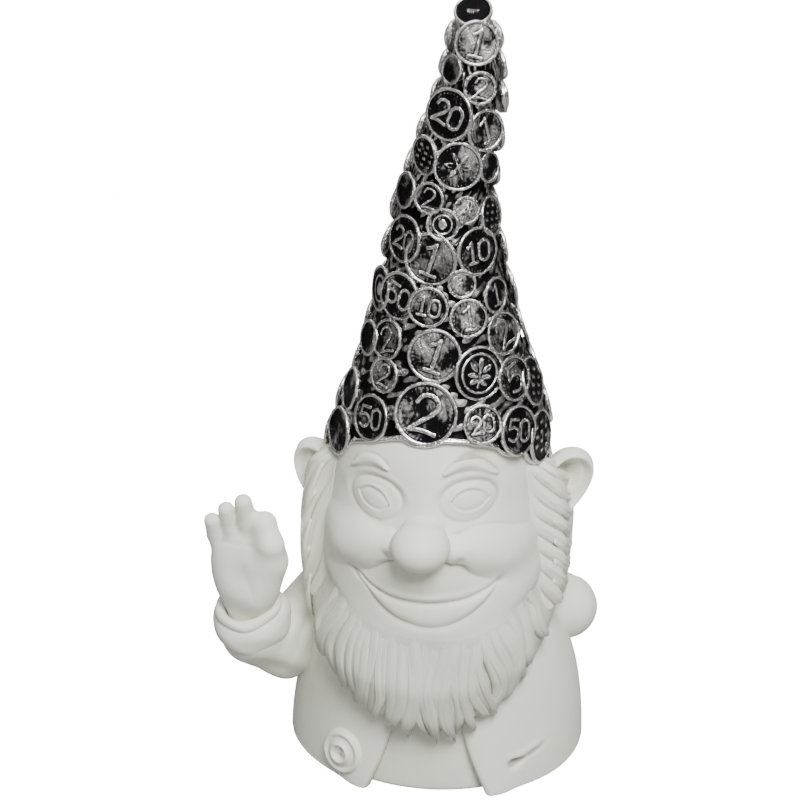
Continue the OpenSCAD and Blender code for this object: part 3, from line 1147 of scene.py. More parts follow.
@dataclass
class Head:
    """The head with its smiling face, the nose and the ears."""

    finishes: Finishes
    nose_at: Point = (0.6, -61.6, 126.3)
    nose_size: Point = (12.5, 12.2, 9.9)
    eyes: tuple[Eye, Eye] = (
        Eye((-20.3, 140.0), (11.8, 8.3), (-21.0, 139.4), (7.2, 4.3), -13.0),
        Eye((19.0, 141.0), (11.6, 8.2), (19.4, 141.0), (7.7, 4.5), -1.0),
    )
    brows: tuple = (
        ((-31.0, 149.6), (-25.5, 153.6), (-20.0, 154.8), (-15.0, 152.6)),
        ((8.8, 152.6), (15.0, 155.8), (21.5, 155.2), (29.5, 149.6)),
    )
    cheeks: tuple = (
        ((-13.0, 122.5), (-20.0, 121.0), (-28.5, 118.4), (-38.0, 115.5), (-47.0, 111.5)),
        ((14.0, 122.0), (21.0, 121.5), (29.5, 117.8), (38.0, 113.0), (46.5, 107.0)),
    )
    mouth: tuple = (
        (-29.5, 107.2), (-27.5, 107.2), (-21.5, 103.4), (-14.5, 100.5), (-7.0, 98.9), (1.0, 98.3),
        (10.6, 98.9), (18.4, 100.2), (25.2, 102.4), (30.5, 104.9), (32.5, 106.3),
    )
    lip_crease: tuple = (
        (-29.5, 107.0), (-24.0, 103.0), (-18.8, 97.4), (-12.0, 92.3), (-5.4, 89.6), (4.2, 87.9),
        (13.8, 89.8), (21.6, 93.8), (27.6, 99.0), (32.5, 106.0),
    )

    def smile(self, x: Array, z: Array) -> Array:
        """Relief of the mouth: a thin groove, a small roll over it, and a broad lower lip that swells between
        the groove and the crease under it.

        Args:
            x: place across.
            z: height.

        Returns:
            Relief in mm.
        """
        groove_line, crease_line = np.array(self.mouth), np.array(self.lip_crease)
        zm = through(groove_line[:, 0], groove_line[:, 1], x)
        zl = through(crease_line[:, 0], crease_line[:, 1], x)
        gap = np.maximum(zm - zl, 0.05)
        ends = smooth(-31, -26, x) * smooth(34, 29, x)
        t = np.clip((zm - z) / gap, 0, 1)
        lip = 1.6 * np.clip(gap / 8.0, 0, 1) * (4 * t * (1 - t)) ** 0.7
        relief = lip * ends - 0.65 * bell(z - zm, 1.0) * ends
        relief = relief + 0.7 * bell(z - zm - 2.2, 1.6) * ends * bell(x - 1.5, 21)
        relief = relief - 0.3 * bell(z - zl, 1.6) * ends
        chin = 1.0 * bell(z - zl + 6.0, 5.0) * bell(x - 4, 17)
        d, _ = near_line(x, z, drawn(((-31.5, 108.8), (-29.0, 107.9), (-27.5, 105.5)), 8))
        return relief + chin - 0.5 * bell(d, 1.2) - 0.5 * bell(np.hypot(x - 32.5, z - 106.0), 2.0)

    def cheek(self, x: Array, z: Array, side: int) -> Array:
        """Relief of one cheek: a long cushion from beside the nose, sharply creased below and soft above.

        Args:
            x: place across.
            z: height.
            side: 0 for the gnome's right, 1 for the left.

        Returns:
            Relief in mm.
        """
        line = drawn(self.cheeks[side], 30)
        d, share = near_line(x, z, line)
        order = np.argsort(line[:, 0])
        over = smooth(-1.5, 1.5, z - np.interp(x, line[order, 0], line[order, 1]))
        width = 5.8 + 4.2 * smooth(0, 0.45, share)
        firm = 0.65 + 0.75 * smooth(0.15, 0.7, share)
        below = np.clip(1 - (d / width) ** 2, 0, 1) ** firm
        above = np.clip(1 - (d / (width * (1.15 if side else 1.45))) ** 2, 0, 1) ** (1.25 if side else 1.9)
        fade = 1 - 0.85 * smooth(0.6, 1, share)
        return 4.1 * (below * (1 - over) + above * over) * fade

    def brow(self, x: Array, z: Array, side: int) -> Array:
        """Relief of one eyebrow: a crescent with a soft top and a firmer lower edge.

        Args:
            x: place across.
            z: height.
            side: 0 for the gnome's right, 1 for the left.

        Returns:
            Relief in mm.
        """
        d, share = near_line(x, z, drawn(self.brows[side]))
        width = 0.5 + 2.2 * np.sin(np.pi * np.clip(share, 0.02, 0.98)) ** 0.7
        return 1.7 * smooth(1.15, 0.2, d / width)

    def relief(self, x: Array, z: Array) -> Array:
        """The face's relief in mm over the plain head, in front.

        Args:
            x: place across.
            z: height.

        Returns:
            Relief in mm.
        """
        total = self.smile(x, z) + sum(self.cheek(x, z, s) + self.brow(x, z, s) for s in (0, 1))
        sockets = sum(eye.height(x, z) for eye in self.eyes)
        hollow = sum(1.5 * mound(x, z, eye.crease, (17, 12)) for eye in self.eyes)
        bridge = 1.9 * bell(x - 0.5, 8.5) * smooth(118, 130, z) * smooth(156, 140, z)
        wings, pits, jowls = 0.0, 0.0, 0.0
        for s in (-1, 1):
            wings = wings + 1.3 * bell(np.hypot(x - 1.5 - 13.2 * s, (z - 121.5 + 0.8 * s) * 0.8), 3.6)
            pits = pits + 1.3 * bell(np.hypot(x - 1.0 - 14.4 * s, z - 118.9 + 0.8 * s), 1.7)
            jowls = jowls + 2.0 * mound(x, z, (43 * s, 101), (9, 11))
        muzzle = 1.8 * mound(x, z, (1, 108), (22, 9))
        jaw = 82.0 + 11 * (np.abs(x - 4) / 46) ** 2.6
        return (total + sockets - hollow + bridge + wings - pits + muzzle + jowls) * smooth(-1, 7, z - jaw)

    def head(self) -> None:
        """The head: level rings, closely set in front, with the face's relief along the head's normal."""
        u = np.linspace(-1, 1, 380, endpoint=False)
        angle = 180 * (0.43 * u + 0.57 * u ** 3)
        bands = [np.linspace(66, 78, 12), np.linspace(78.5, 158, 200), np.linspace(160, 188.4, 20)]
        a, z = np.meshgrid(angle, np.concatenate(bands))
        base = HEAD.point(a, z)
        front = smooth(0.05, 0.3, np.cos(np.radians(a))) * smooth(165, 158, z)
        lift = self.relief(base[..., 0], z) * front
        skin = tube(base + lift[..., None] * HEAD.normal(a, z))
        make_piece("head_shell", skin, self.finishes.figure, 14)

    def nose(self) -> None:
        """The nose: a smooth ball, a little broader than tall, blended into a short stem behind it."""
        centre, size = np.array(self.nose_at), np.array(self.nose_size)

        def ball(x: Array, y: Array, z: Array) -> Array:
            """Distance to the ball and its stem, joined softly.

            Args:
                x: place across.
                y: place in depth.
                z: height.

            Returns:
                Signed distance in mm.
            """
            p = (x - centre[0], y - centre[1], z - centre[2])
            tip = (egg_share(p, (0, 0, 0), size) - 1) * 11.0
            stem = (egg_share(p, (0, 9, 1), (10, 9, 9)) - 1) * 9.0
            return soft_join(tip, stem, 1.5)

        skin = carved(ball, centre - (15, 14, 13), centre + (15, 20, 13), 0.7)
        make_piece("nose", skin, self.finishes.figure, 4)

    def ear(self, name: str, centre: Point, side: int, tall: Pair) -> None:
        """One ear: a drop-shaped dish on a disc of rings, with a rolled rim, a deep bowl and an inner ridge.

        Args:
            name: the ear's CAD node.
            centre: middle of the ear.
            side: 1 for the gnome's left, -1 for the right.
            tall: how far it reaches up and down from its middle.
        """
        phi = np.linspace(0, 2 * np.pi, 120, endpoint=False)
        rows = np.concatenate([[0.02], np.linspace(0.06, 0.94, 34), [0.97, 1.0]])
        p, r = np.meshgrid(phi, rows)
        up = np.sin(p)
        reach = 10.6 * (1 + 0.16 * up) * np.where(up < 0, 1 - 0.34 * up ** 2, 1.0)
        a = r * np.cos(p) * reach + 1.5 * up * r
        b = r * up * np.where(up > 0, tall[0], tall[1])
        outer = 0.5 + 0.5 * np.cos(p - math.radians(60))
        roll = (1.9 + 2.0 * outer) * bell(r - 0.86, 0.11 + 0.03 * outer)
        bowl = 8.0 * smooth(0.88, 0.3, np.hypot((a + 1.0 - 0.12 * b) / 7.2, (b - 0.5) / 13.0))
        ridge = 1.9 * bell(np.hypot((a - 2.2 - 0.02 * b) / 1.7, (b - 3) / 7), 1.0)
        lobe = 1.3 * bell(np.hypot(a - 0.5, b + 14), 4.5)
        front = 0.8 + roll - bowl + ridge + lobe - 1.6 * smooth(0.9, 1.0, r) ** 2
        back = -2.8 - 7.6 * np.sqrt(np.clip(1 - r ** 2, 0, 1)) + 1.8 * smooth(0.8, 1, r)
        local = np.concatenate([np.stack([side * a, b, front], -1), np.stack([side * a, b, back], -1)[::-1]])
        skin = tube(local)
        turn, tilt = math.radians(20 * side), math.radians(14 * side)
        out = np.array([math.sin(turn), -math.cos(turn), 0.0])
        right = np.array([math.cos(turn), math.sin(turn), 0.0])
        high = np.array([0.0, 0.0, 1.0])
        q = skin.points
        x, z = swung(q[:, 0], q[:, 1], tilt)
        place = np.array(centre) + (x[:, None] + 3.0 * side) * right
        skin.points = place + z[:, None] * high + q[:, 2:] * out
        make_piece(name, skin.outward(), self.finishes.figure, 6)

    def build(self) -> None:
        """Makes the head's pieces."""
        self.head()
        self.nose()
        self.ear("left_ear", (53.5, 3, 128), 1, (15.5, 21.5))
        self.ear("right_ear", (-49.5, 3, 123), -1, (19.0, 18.0))


def soft_join(a: Array, b: Array, blend: float) -> Array:
    """Smooth lesser of two distances: near where they are equal, the join is rounded by about blend mm."""
    h = np.clip(0.5 + 0.5 * (b - a) / blend, 0, 1)
    return b * (1 - h) + a * h - blend * h * (1 - h)


def egg_share(p: Grid, centre: Sequence[float], size: Sequence[float]) -> Array:
    """Distance from an egg's middle in shares of its half sizes: 1 on its surface."""
    return np.sqrt(sum(((p[k] - centre[k]) / size[k]) ** 2 for k in range(3)))


# ---- hair ----


def lock_of_hair(path: Array, out: Array, half: Array, height: Array, ridges: int, sides: int = 18) -> Skin:
    """One lock: a flat-bottomed roll along a path, with ridges along its back.

    Args:
        path: (n, 3) middle of the lock.
        out: (n, 3) directions that its back faces.
        half: (n,) half width.
        height: (n,) height over the path.
        ridges: number of ridges side by side.
        sides: points in each ring.

    Returns:
        The lock's closed skin.
    """
    along = unit(np.gradient(path, axis=0))
    side = unit(np.cross(along, out))
    up = np.cross(side, along)
    turn = np.linspace(0, 2 * np.pi, sides, endpoint=False)
    c, s = np.cos(turn), np.sin(turn)
    groove = 0.30 * (0.5 + 0.5 * np.cos(2 * np.pi * ridges * (c + 1) / 2)) * (ridges > 1)
    rise = np.where(s > 0, s * (1 - groove), 0.6 * s)
    across = side[:, None] * (half[:, None] * c)[..., None]
    return tube(path[:, None] + across + up[:, None] * (height[:, None] * rise)[..., None])


NO_EDGE = 400.0  # an angle far from every part of the hair


@dataclass
class Hair:
    """Beard, side hair and back hair, each a thick sheet with locks laid over it."""

    finishes: Finishes
    seed: int = 7
    jaw: tuple = (
        (-50, 113), (-48, 105), (-45, 98.5), (-40, 93.5), (-32, 90), (-26, 88), (-20, 86.5), (-14, 85.5),
        (-8, 84.5), (-2, 84), (4, 83.5), (10, 83), (16, 83), (22, 83.5), (28, 84.5), (34, 86.5),
        (40, 89.5), (44, 93.5), (47, 99), (50, 108),
    )
    hem: tuple = (
        (-54, 76), (-50, 63), (-46, 53.5), (-40, 46.5), (-33, 41), (-24, 33.5), (-15, 31), (0, 30.5),
        (15, 31), (25, 34.5), (33, 39.5), (42, 48.5), (49, 58), (54, 70), (57, 78),
    )
    hem_by_angle: tuple = (
        (-88, 84), (-76, 77), (-68, 64), (-60, 50), (-50, 42), (-38, 36.5), (-25, 34.5), (0, 33.5), (20, 34),
        (35, 39), (48, 44), (60, 52), (70, 61), (78, 72), (88, 84),
    )
    strands: tuple = (31, 27, 12)
    beard_start: float = -51.0
    beard_width: float = 105.0
    edge_angle: float = 88.0
    temple_z: float = 118.0
    hair_low: float = 76.0

    def __post_init__(self) -> None:
        """Sets up the seeded random numbers and the jaw's line by angle."""
        self.random = np.random.default_rng(self.seed)
        line = np.array(self.jaw, float)
        self.jaw_angle = HEAD.angle_of(line[:, 0], line[:, 1])

    def top_of(self, angle: Array) -> Array:
        """Height of the line where the beard starts, by angle."""
        places = np.concatenate([[-self.edge_angle], self.jaw_angle, [self.edge_angle]])
        return np.interp(angle, places, [self.temple_z, *(z for _, z in self.jaw), self.temple_z])

    def on_beard(self, angle: Array, z: Array, lift: Array) -> Array:
        """Point of the beard: it leaves the face at the jaw and reaches the mane's full size 20 mm lower."""
        return self.between(angle, z, np.asarray(lift), smooth(-2, 26, self.top_of(angle) - z))

    def beard(self) -> None:
        """The beard: strands that leave the jaw close together, spread in curves and end in free tips."""
        a, t = np.meshgrid(np.linspace(-86, 86, 230), np.linspace(0, 1, 70))
        hem = np.array(self.hem_by_angle)
        low = through(hem[:, 0], hem[:, 1], a) + 2.5
        z = (self.top_of(a) + 3) * (1 - t) + low * t
        lift = -1.3 * smooth(0.08, 0.0, t) - 1.3 * smooth(0.08, 0.5, t) - 0.1 - 3.0 * smooth(0.9, 1.0, t) ** 2
        outer = self.on_beard(a, z, lift)
        inner = self.on_beard(a, z, np.full_like(a, -9.0))
        skins = [slab(outer, inner)]
        for layer, count in enumerate(self.strands):
            for k in range(count):
                place = k + 0.5 + self.random.uniform(-0.25, 0.25)
                skins.append(self.strand(self.beard_start + self.beard_width * place / count, layer))
        make_piece("beard", Skin.joined(skins), self.finishes.beard, 5)

    def strand(self, x_end: float, layer: int) -> Skin:
        """One long strand of the beard: it follows its neighbours' curves, and near the hem it draws together
        with them into pointed ends.

        Args:
            x_end: x of its tip.
            layer: 0 for the deeper strands, 1 for those that stand out, 2 for the bold ones that start lower.

        Returns:
            The strand's skin.
        """
        r = self.random
        jaw, hem = np.array(self.jaw, float), np.array(self.hem, float)
        pinch = 8.5
        middle = (math.floor(x_end / pinch) + 0.5) * pinch
        x_top = float(np.clip(4 + (x_end - 4) * 0.9, -48.5, 49.0))
        z_top = np.interp(x_top, jaw[:, 0], jaw[:, 1]) + r.uniform(6.0, 10.0) - (3.0 if layer == 2 else 0.0)
        z_end = np.interp(x_end, hem[:, 0], hem[:, 1]) + 1.2 * abs(x_end - middle) - 3.4
        z_end = z_end + r.uniform(-1.5, 1.5)
        t = np.linspace(0, 1, 40)
        z = z_top + (z_end - z_top) * t
        steep = smooth(50, 25, abs(x_end - 4))
        group = 0.016 * x_end + 0.13 * math.sin(x_end / 5.5) + 0.09 * math.sin(x_end / 2.3)
        swing = r.uniform(1.8, 2.9)
        bend = swing * np.sin(2 * np.pi * (t + group) + r.uniform(-0.4, 0.4)) * smooth(0.0, 0.5, t)
        away = (x_end - 9) / 11
        parting = 2.4 * bell(x_end - 9, 11) * lean(np.array(away), 0.6) * bell(t - 0.25, 0.25)
        x = x_top + (x_end - x_top) * (t + 0.14 * np.sin(2 * np.pi * t))
        x = x + bend * (0.55 + 0.45 * steep) + parting
        x = x + (middle - x_end) * 0.65 * smooth(0.6, 1.0, t) + r.uniform(-0.4, 0.4) * np.sin(np.pi * t)
        angle = MANE.angle_of(x, z)
        level = (-1.6, -0.3, 0.3)[layer] + r.uniform(-0.5, 0.4)
        rise = -2.2 + (2.2 + level) * smooth(0.0, 0.42, t) - 1.8 * smooth(0.84, 1.0, t)
        path = self.on_beard(angle, z, rise)
        body = smooth(-0.1, 0.22, t) * (1 - smooth(0.7, 1.02, t)) ** 0.75
        half = (1.7 + 0.5 * smooth(0.05, 0.5, t)) * body * r.uniform(0.65, 1.45) + 0.1
        height = (1.1 + 1.3 * smooth(0.1, 0.5, t)) * body + 0.1
        return lock_of_hair(path, MANE.normal(angle, z), half, height, int(r.integers(2, 4)), 20)

    @staticmethod
    def swept(start: Pair, end: Pair, half: float, height: float, bow: float) -> Skin:
        """One smooth lock over the mane.

        Args:
            start: angle and height of its upper end.
            end: angle and height of its lower end.
            half: its half width.
            height: its height over the mane.
            bow: degrees by which its middle is bowed sideways.

        Returns:
            The lock's skin.
        """
        t = np.linspace(0, 1, 34)
        angle = start[0] + (end[0] - start[0]) * t + bow * np.sin(np.pi * t)
        z = start[1] + (end[1] - start[1]) * t
        rise = -2.2 + 2.0 * np.sin(np.pi * np.clip(t, 0, 1)) ** 0.7
        shape = np.sin(np.pi * (0.04 + 0.93 * t ** 0.9)) ** 0.62
        under_hat = 5.0 * smooth(-5.0, 3.0, z - rim_height(angle))
        path = MANE.point(angle, z, under_hat - rise)
        return lock_of_hair(path, MANE.normal(angle, z), half * shape + 0.1, height * shape + 0.1, 1)

    def sheet(self, low: float, high: float, count: int, front: float, waves: Waves) -> Skin:
        """The sheet of a stretch of hair between two angles, from under the hat's rim down.

        Args:
            low: angle at which it starts.
            high: angle at which it ends.
            count: points round it.
            front: angle of its edge beside the face, where it lies flat on the head, or NO_EDGE.
            waves: gives the relief of its locks, in mm, from angle and height.

        Returns:
            The sheet's skin.
        """
        a, t = np.meshgrid(np.linspace(low, high, count), np.linspace(0, 1, 150))
        z = self.hair_low + (np.minimum(146, rim_height(a) + 1.5) - self.hair_low) * t
        share = smooth(-1, 12, np.abs(a - front))
        lift = waves(a, z) * smooth(0, 7, np.abs(a - front))
        lift = lift - 4.0 * smooth(4, 0, z - self.hair_low) - 3.0 * smooth(-6, 1, z - rim_height(a))
        outer = self.between(a, z, lift, share)
        return slab(outer, self.between(a, z, np.full_like(a, -9.0), share))

    @staticmethod
    def between(angle: Array, z: Array, lift: Array, share: Array) -> Array:
        """Point lifted over the head where share is 0 and over the mane where it is 1."""
        mix = np.asarray(share)[..., None]
        return HEAD.point(angle, z, -lift) * (1 - mix) + MANE.point(angle, z, -lift) * mix

    @staticmethod
    def rolls(phase: Array, depth: float, sharp: float = 0.55) -> Array:
        """Rounded rolls side by side with a sharp groove wherever phase is a whole number."""
        return depth * (np.abs(np.sin(np.pi * phase)) ** sharp - 0.75)

    def left_side(self) -> None:
        """Hair beside the face on the gnome's left: fat locks that slant back and down, like a loose rope."""

        def waves(a: Array, z: Array) -> Array:
            """Slanting rolls, steeper near the face, each with finer hairs along it.

            Args:
                a: degrees from the front.
                z: height.

            Returns:
                Relief in mm.
            """
            back = np.clip(a - 65, 0, 60)
            run = z + 24 * (1 - np.exp(-back / 13)) + 0.25 * back + 1.3 * np.sin(0.11 * z)
            phase = run / 8.6
            on_roll = smooth(0.1, 0.5, np.abs(np.sin(np.pi * phase)))
            fine = 0.22 * np.sin(2 * np.pi * phase * 2.5 + 0.9 * np.sin(0.2 * z)) * on_roll
            return self.rolls(phase, 2.7) + fine + 0.8

        skins = [self.sheet(64.5, 104, 110, 64.5, waves)]
        for k in range(6):
            z = 139 - 9.2 * k
            skins.append(self.swept((69 + 0.3 * k, z), (89, z - 20), 2.8, 1.5, 4.0))
        make_piece("left_side_hair", Skin.joined(skins), self.finishes.figure, 5)

    def right_side(self) -> None:
        """Hair beside the face on the gnome's right: steeper, longer waves."""

        def waves(a: Array, z: Array) -> Array:
            """Nearly upright rolls that swing back as they fall.

            Args:
                a: degrees from the front.
                z: height.

            Returns:
                Relief in mm.
            """
            back = np.clip(-a - 64, 0, 60)
            run = 0.30 * (z - 80) + back * 0.95 + 2.2 * np.sin(0.085 * z + 0.03 * back)
            phase = run / 5.6
            return self.rolls(phase, 2.3) + 0.2 * np.sin(2 * np.pi * phase * 3) + 0.6

        skins = [self.sheet(-104, -64, 120, -64, waves)]
        for k in range(5):
            z = 141 - 12.5 * k
            skins.append(self.swept((-67, z), (-80 - k, z - 32), 3.2, 1.3, 3.0 - 6.0 * (k % 2)))
        make_piece("right_side_hair", Skin.joined(skins), self.finishes.figure, 5)

    def back(self) -> None:
        """Hair at the back: broad waving locks that hang to the shoulders."""

        def waves(a: Array, z: Array) -> Array:
            """Upright rolls that wave as they fall."""
            return self.rolls(a / 6.0 + 0.5 * np.sin(0.12 * z), 1.6) - 0.8

        skins = [self.sheet(95, 265, 160, NO_EDGE, waves)]
        r = self.random
        for layer in (0, 1):
            for k in range(15):
                angle = 98 + 11.6 * (k + 0.5 * layer)
                t = np.linspace(0, 1, 50)
                a = angle + 2.4 * np.sin(2 * np.pi * (0.9 * t + r.uniform(-0.08, 0.08) + 0.25 * layer))
                tip = self.hair_low + r.uniform(-1, 3) + 5 * layer
                z = rim_height(a) + 1 + (tip - 1 - rim_height(a)) * t
                shape = np.sin(np.pi * (0.14 + 0.84 * t)) ** 0.5
                inset = 1.6 - 0.6 * layer + 2.4 * smooth(0.85, 1, t) + 4.5 * smooth(0.16, 0, t)
                path = MANE.point(a, z, inset)
                skins.append(lock_of_hair(path, MANE.normal(a, z), 5.6 * shape + 0.1, 4.0 * shape + 0.1, 3))
        make_piece("back_hair", Skin.joined(skins), self.finishes.figure, 5)

    def build(self) -> None:
        """Makes the beard and the hair."""
        self.beard()
        self.left_side()
        self.right_side()
        self.back()


# ---- arms ----


def limb(p: Grid, a: Sequence[float], ra: float, b: Sequence[float], rb: float) -> Array:
    """Distance to a rod from a to b whose radius goes from ra to rb.

    Args:
        p: x, y and z of the places.
        a: one end.
        ra: radius there.
        b: the other end.
        rb: radius there.

    Returns:
        Signed distance in mm.
    """
    d = np.array(b, float) - np.array(a, float)
    t = np.clip(sum((p[k] - a[k]) * d[k] for k in range(3)) / float(d @ d), 0, 1)
    gap = np.sqrt(sum((p[k] - a[k] - t * d[k]) ** 2 for k in range(3)))
    return gap - ra - (rb - ra) * t


def egg(p: Grid, centre: Sequence[float], size: Sequence[float]) -> Array:
    """Approximate distance to an egg with the given half sizes."""
    return (egg_share(p, centre, size) - 1) * min(size)


def turned(points: Array, axis: Array, across: Array, centre: Array) -> Array:
    """Puts local points at centre with their z along axis and their x towards across.

    Args:
        points: (..., 3) local points.
        axis: direction of their z.
        across: direction that their x comes nearest to.
        centre: where their origin goes.

    Returns:
        The moved points.
    """
    axis = unit(np.asarray(axis, float))
    x = unit(np.asarray(across, float) - axis * float(np.dot(across, axis)))
    return centre + points[..., :1] * x + points[..., 1:2] * np.cross(axis, x) + points[..., 2:] * axis


@dataclass
class Arms:
    """Both sleeves, cuffs and hands: the right hand is raised and the left rests on the back."""

    finishes: Finishes
    shoulder_r: tuple = (-42.0, 8.0, 70.0)
    elbow_r: tuple = (-68.0, -6.0, 44.0)
    cuff_r: tuple = (-81.0, -23.0, 64.0)
    palm_r: tuple = (-80.0, -26.0, 90.0)
    shoulder_l: tuple = (42.0, 8.0, 64.0)
    elbow_l: tuple = (57.0, 16.0, 58.0)
    cuff_l: tuple = (22.0, 60.0, 50.0)

    def right_sleeve(self) -> None:
        """The raised arm's sleeve: a bent bag of cloth with folds in the crook and a soft elbow."""
        s, e, c = self.shoulder_r, self.elbow_r, self.cuff_r

        def cloth(x: Array, y: Array, z: Array) -> Array:
            """Distance to the sleeve.

            Args:
                x: place across.
                y: place in depth.
                z: height.

            Returns:
                Signed distance in mm.
            """
            p = (x, y, z)
            lower = limb(p, e, 15.6, (c[0] + 1, c[1], c[2] - 6), 14.4)
            total = soft_join(limb(p, s, 18.0, e, 16.0), lower, 6.0)
            crook = np.sqrt((x + 64) ** 2 + (y + 14) ** 2 + (z - 60) ** 2)
            folds = 0.5 * np.sin(0.6 * (x - 0.6 * z + 0.5 * y)) * bell(crook, 15)
            return total + folds - 0.7 * np.sin(0.28 * (z + x)) * smooth(58, 40, z)

        skin = carved(cloth, np.array([-102.0, -44, 24]), np.array([-22.0, 30, 90]), 1.0)
        make_piece("right_sleeve", skin, self.finishes.figure, 6)

    def left_sleeve(self) -> None:
        """The sleeve of the arm that goes round to the back."""
        s, e, c = self.shoulder_l, self.elbow_l, self.cuff_l

        def cloth(x: Array, y: Array, z: Array) -> Array:
            """Distance to the sleeve.

            Args:
                x: place across.
                y: place in depth.
                z: height.

            Returns:
                Signed distance in mm.
            """
            p = (x, y, z)
            total = soft_join(limb(p, s, 13.8, e, 13.3), limb(p, e, 13.3, (c[0] + 8, c[1], c[2]), 11.2), 6.0)
            crook = np.sqrt((x - 50) ** 2 + (y - 30) ** 2 + (z - 56) ** 2)
            return total + 0.7 * np.sin(0.6 * (y - 0.7 * x)) * bell(crook, 16) * smooth(0, 12, y)

        skin = carved(cloth, np.array([12.0, -12, 32]), np.array([76.0, 78, 84]), 1.0)
        make_piece("left_sleeve", skin, self.finishes.figure, 6)

    def cuff(self, name: str, centre: tuple, axis: tuple, radius: float, length: float, bore: float) -> None:
        """A rolled cuff: a fat ring of cloth with a thinner lip at its open end and a soft wave round it.

        Args:
            name: its CAD node.
            centre: its middle.
            axis: direction of its open end.
            radius: outer radius.
            length: its length along the axis.
            bore: radius of the wrist's hole.
        """
        h = length / 2
        lip = radius - bore
        profile = np.array([
            (bore, -h * 0.7), (radius - 4.5, -h * 0.98), (radius - 1.6, -h * 0.86), (radius - 0.2, -h * 0.5),
            (radius, -h * 0.1), (radius - 0.05 * lip, h * 0.2), (radius - 0.2 * lip, h * 0.45),
            (radius - 0.34 * lip, h * 0.58), (radius - 0.38 * lip, h * 0.65), (radius - 0.34 * lip, h * 0.78),
            (radius - 0.42 * lip, h * 0.95), (radius - 0.6 * lip, h * 1.03), (radius - 0.8 * lip, h * 0.98),
            (radius - 0.93 * lip, h * 0.82), (bore, h * 0.5),
        ])
        curve = through(np.arange(len(profile)), profile, np.linspace(0, len(profile) - 1, 90))
        turn = np.linspace(0, 2 * np.pi, 140, endpoint=False)
        r, z = curve[:, :1], curve[:, 1:]
        free = smooth(bore + 1, bore + 4, r)
        r = r + free * (0.35 * np.sin(3 * turn + 1) + 0.25 * np.sin(5 * turn + 0.4 * z))
        z = z + free * (0.7 * np.sin(2 * turn + 0.6) + 0.35 * np.sin(5 * turn))
        rings = np.stack([r * np.cos(turn), r * np.sin(turn), z], -1)
        skin = hoop(turned(rings, np.array(axis), np.array([1.0, 0, 0.3]), np.array(centre)))
        make_piece(name, skin, self.finishes.figure, 8)

    def right_hand(self) -> None:
        """The raised hand: three fingers up side by side, and the first finger bent down onto the thumb."""
        x0, y0, z0 = self.palm_r

        def flesh(x: Array, y: Array, z: Array) -> Array:
            """Distance to the hand, in places given from the palm.

            Args:
                x: place across.
                y: place in depth.
                z: height.

            Returns:
                Signed distance in mm.
            """
            p = (x - x0, y - y0, z - z0)
            palm = egg(p, (-4.6, 0.3, 6), (11.6, 8.0, 17))
            palm = soft_join(palm, egg(p, (4.2, 0, 6), (10.6, 8.0, 15.5)), 6)
            palm = soft_join(palm, egg(p, (3.5, -3.5, -3), (7.5, 6.3, 11.0)), 6)
            palm = soft_join(palm, egg(p, (-7.8, -2.0, -2), (6.0, 6.0, 12)), 6)
            total = soft_join(palm, limb(p, (0.0, 1.5, -8), 10.2, (-1.4, 3, -30), 8.6), 6)
            fingers = (
                ((-10.6, -0.5, 8), 4.5, (-13.2, -1.6, 18.5), 4.1, (-14.2, -4.0, 26.2), 3.5),
                ((-4.6, -0.5, 10), 4.7, (-6.6, -1.2, 22), 4.2, (-7.8, -3.6, 31.6), 3.6),
                ((2.0, -0.5, 11), 4.8, (0.8, -1.2, 25), 4.4, (-0.2, -3.4, 35.4), 3.8),
            )
            for a, ra, b, rb, c, rc in fingers:
                total = soft_join(total, soft_join(limb(p, a, ra, b, rb), limb(p, b, rb, c, rc), 1.2), 1.0)
            first = limb(p, (7.4, -0.5, 8), 5.6, (8.4, -2.5, 25.2), 4.8)
            first = soft_join(first, limb(p, (8.4, -2.5, 25.2), 4.7, (11.4, -6.0, 17.5), 4.5), 3.5)
            thumb = limb(p, (3.6, -3.0, -8), 7.6, (11.4, -4.0, 7.5), 6.0)
            thumb = soft_join(thumb, limb(p, (11.4, -4.0, 7.5), 5.8, (12.2, -6.0, 16.0), 4.6), 3.5)
            total = soft_join(soft_join(total, first, 3.5), thumb, 6.0)
            life = np.hypot((p[0] - 2.0) * 0.9 + 0.3 * p[2], np.abs(p[2] + 1) * 0.15)
            crease = 0.3 * bell(life, 1.8) * smooth(-3, -7, p[1]) * bell(p[2] + 2, 8)
            hollow = 0.9 * bell(np.hypot(p[0] + 1.0, p[2] - 2.0), 6.0) * smooth(-2, -6, p[1])
            base = 0.2 * bell(p[2] - 16.5 + 0.05 * p[0], 1.1) * smooth(-2.5, -4.5, p[1]) * smooth(6, 2, p[0])
            return total + crease + hollow + base

        low = np.array([x0 - 21.0, y0 - 22, z0 - 29])
        skin = carved(flesh, low, np.array([x0 + 24.0, y0 + 16, z0 + 42]), 0.62)
        make_piece("right_hand", skin, self.finishes.figure, 6)

    def left_hand(self) -> None:
        """The hand in the small of the back: palm out, four fingers side by side and the thumb up."""
        x0, y0, z0 = self.cuff_l

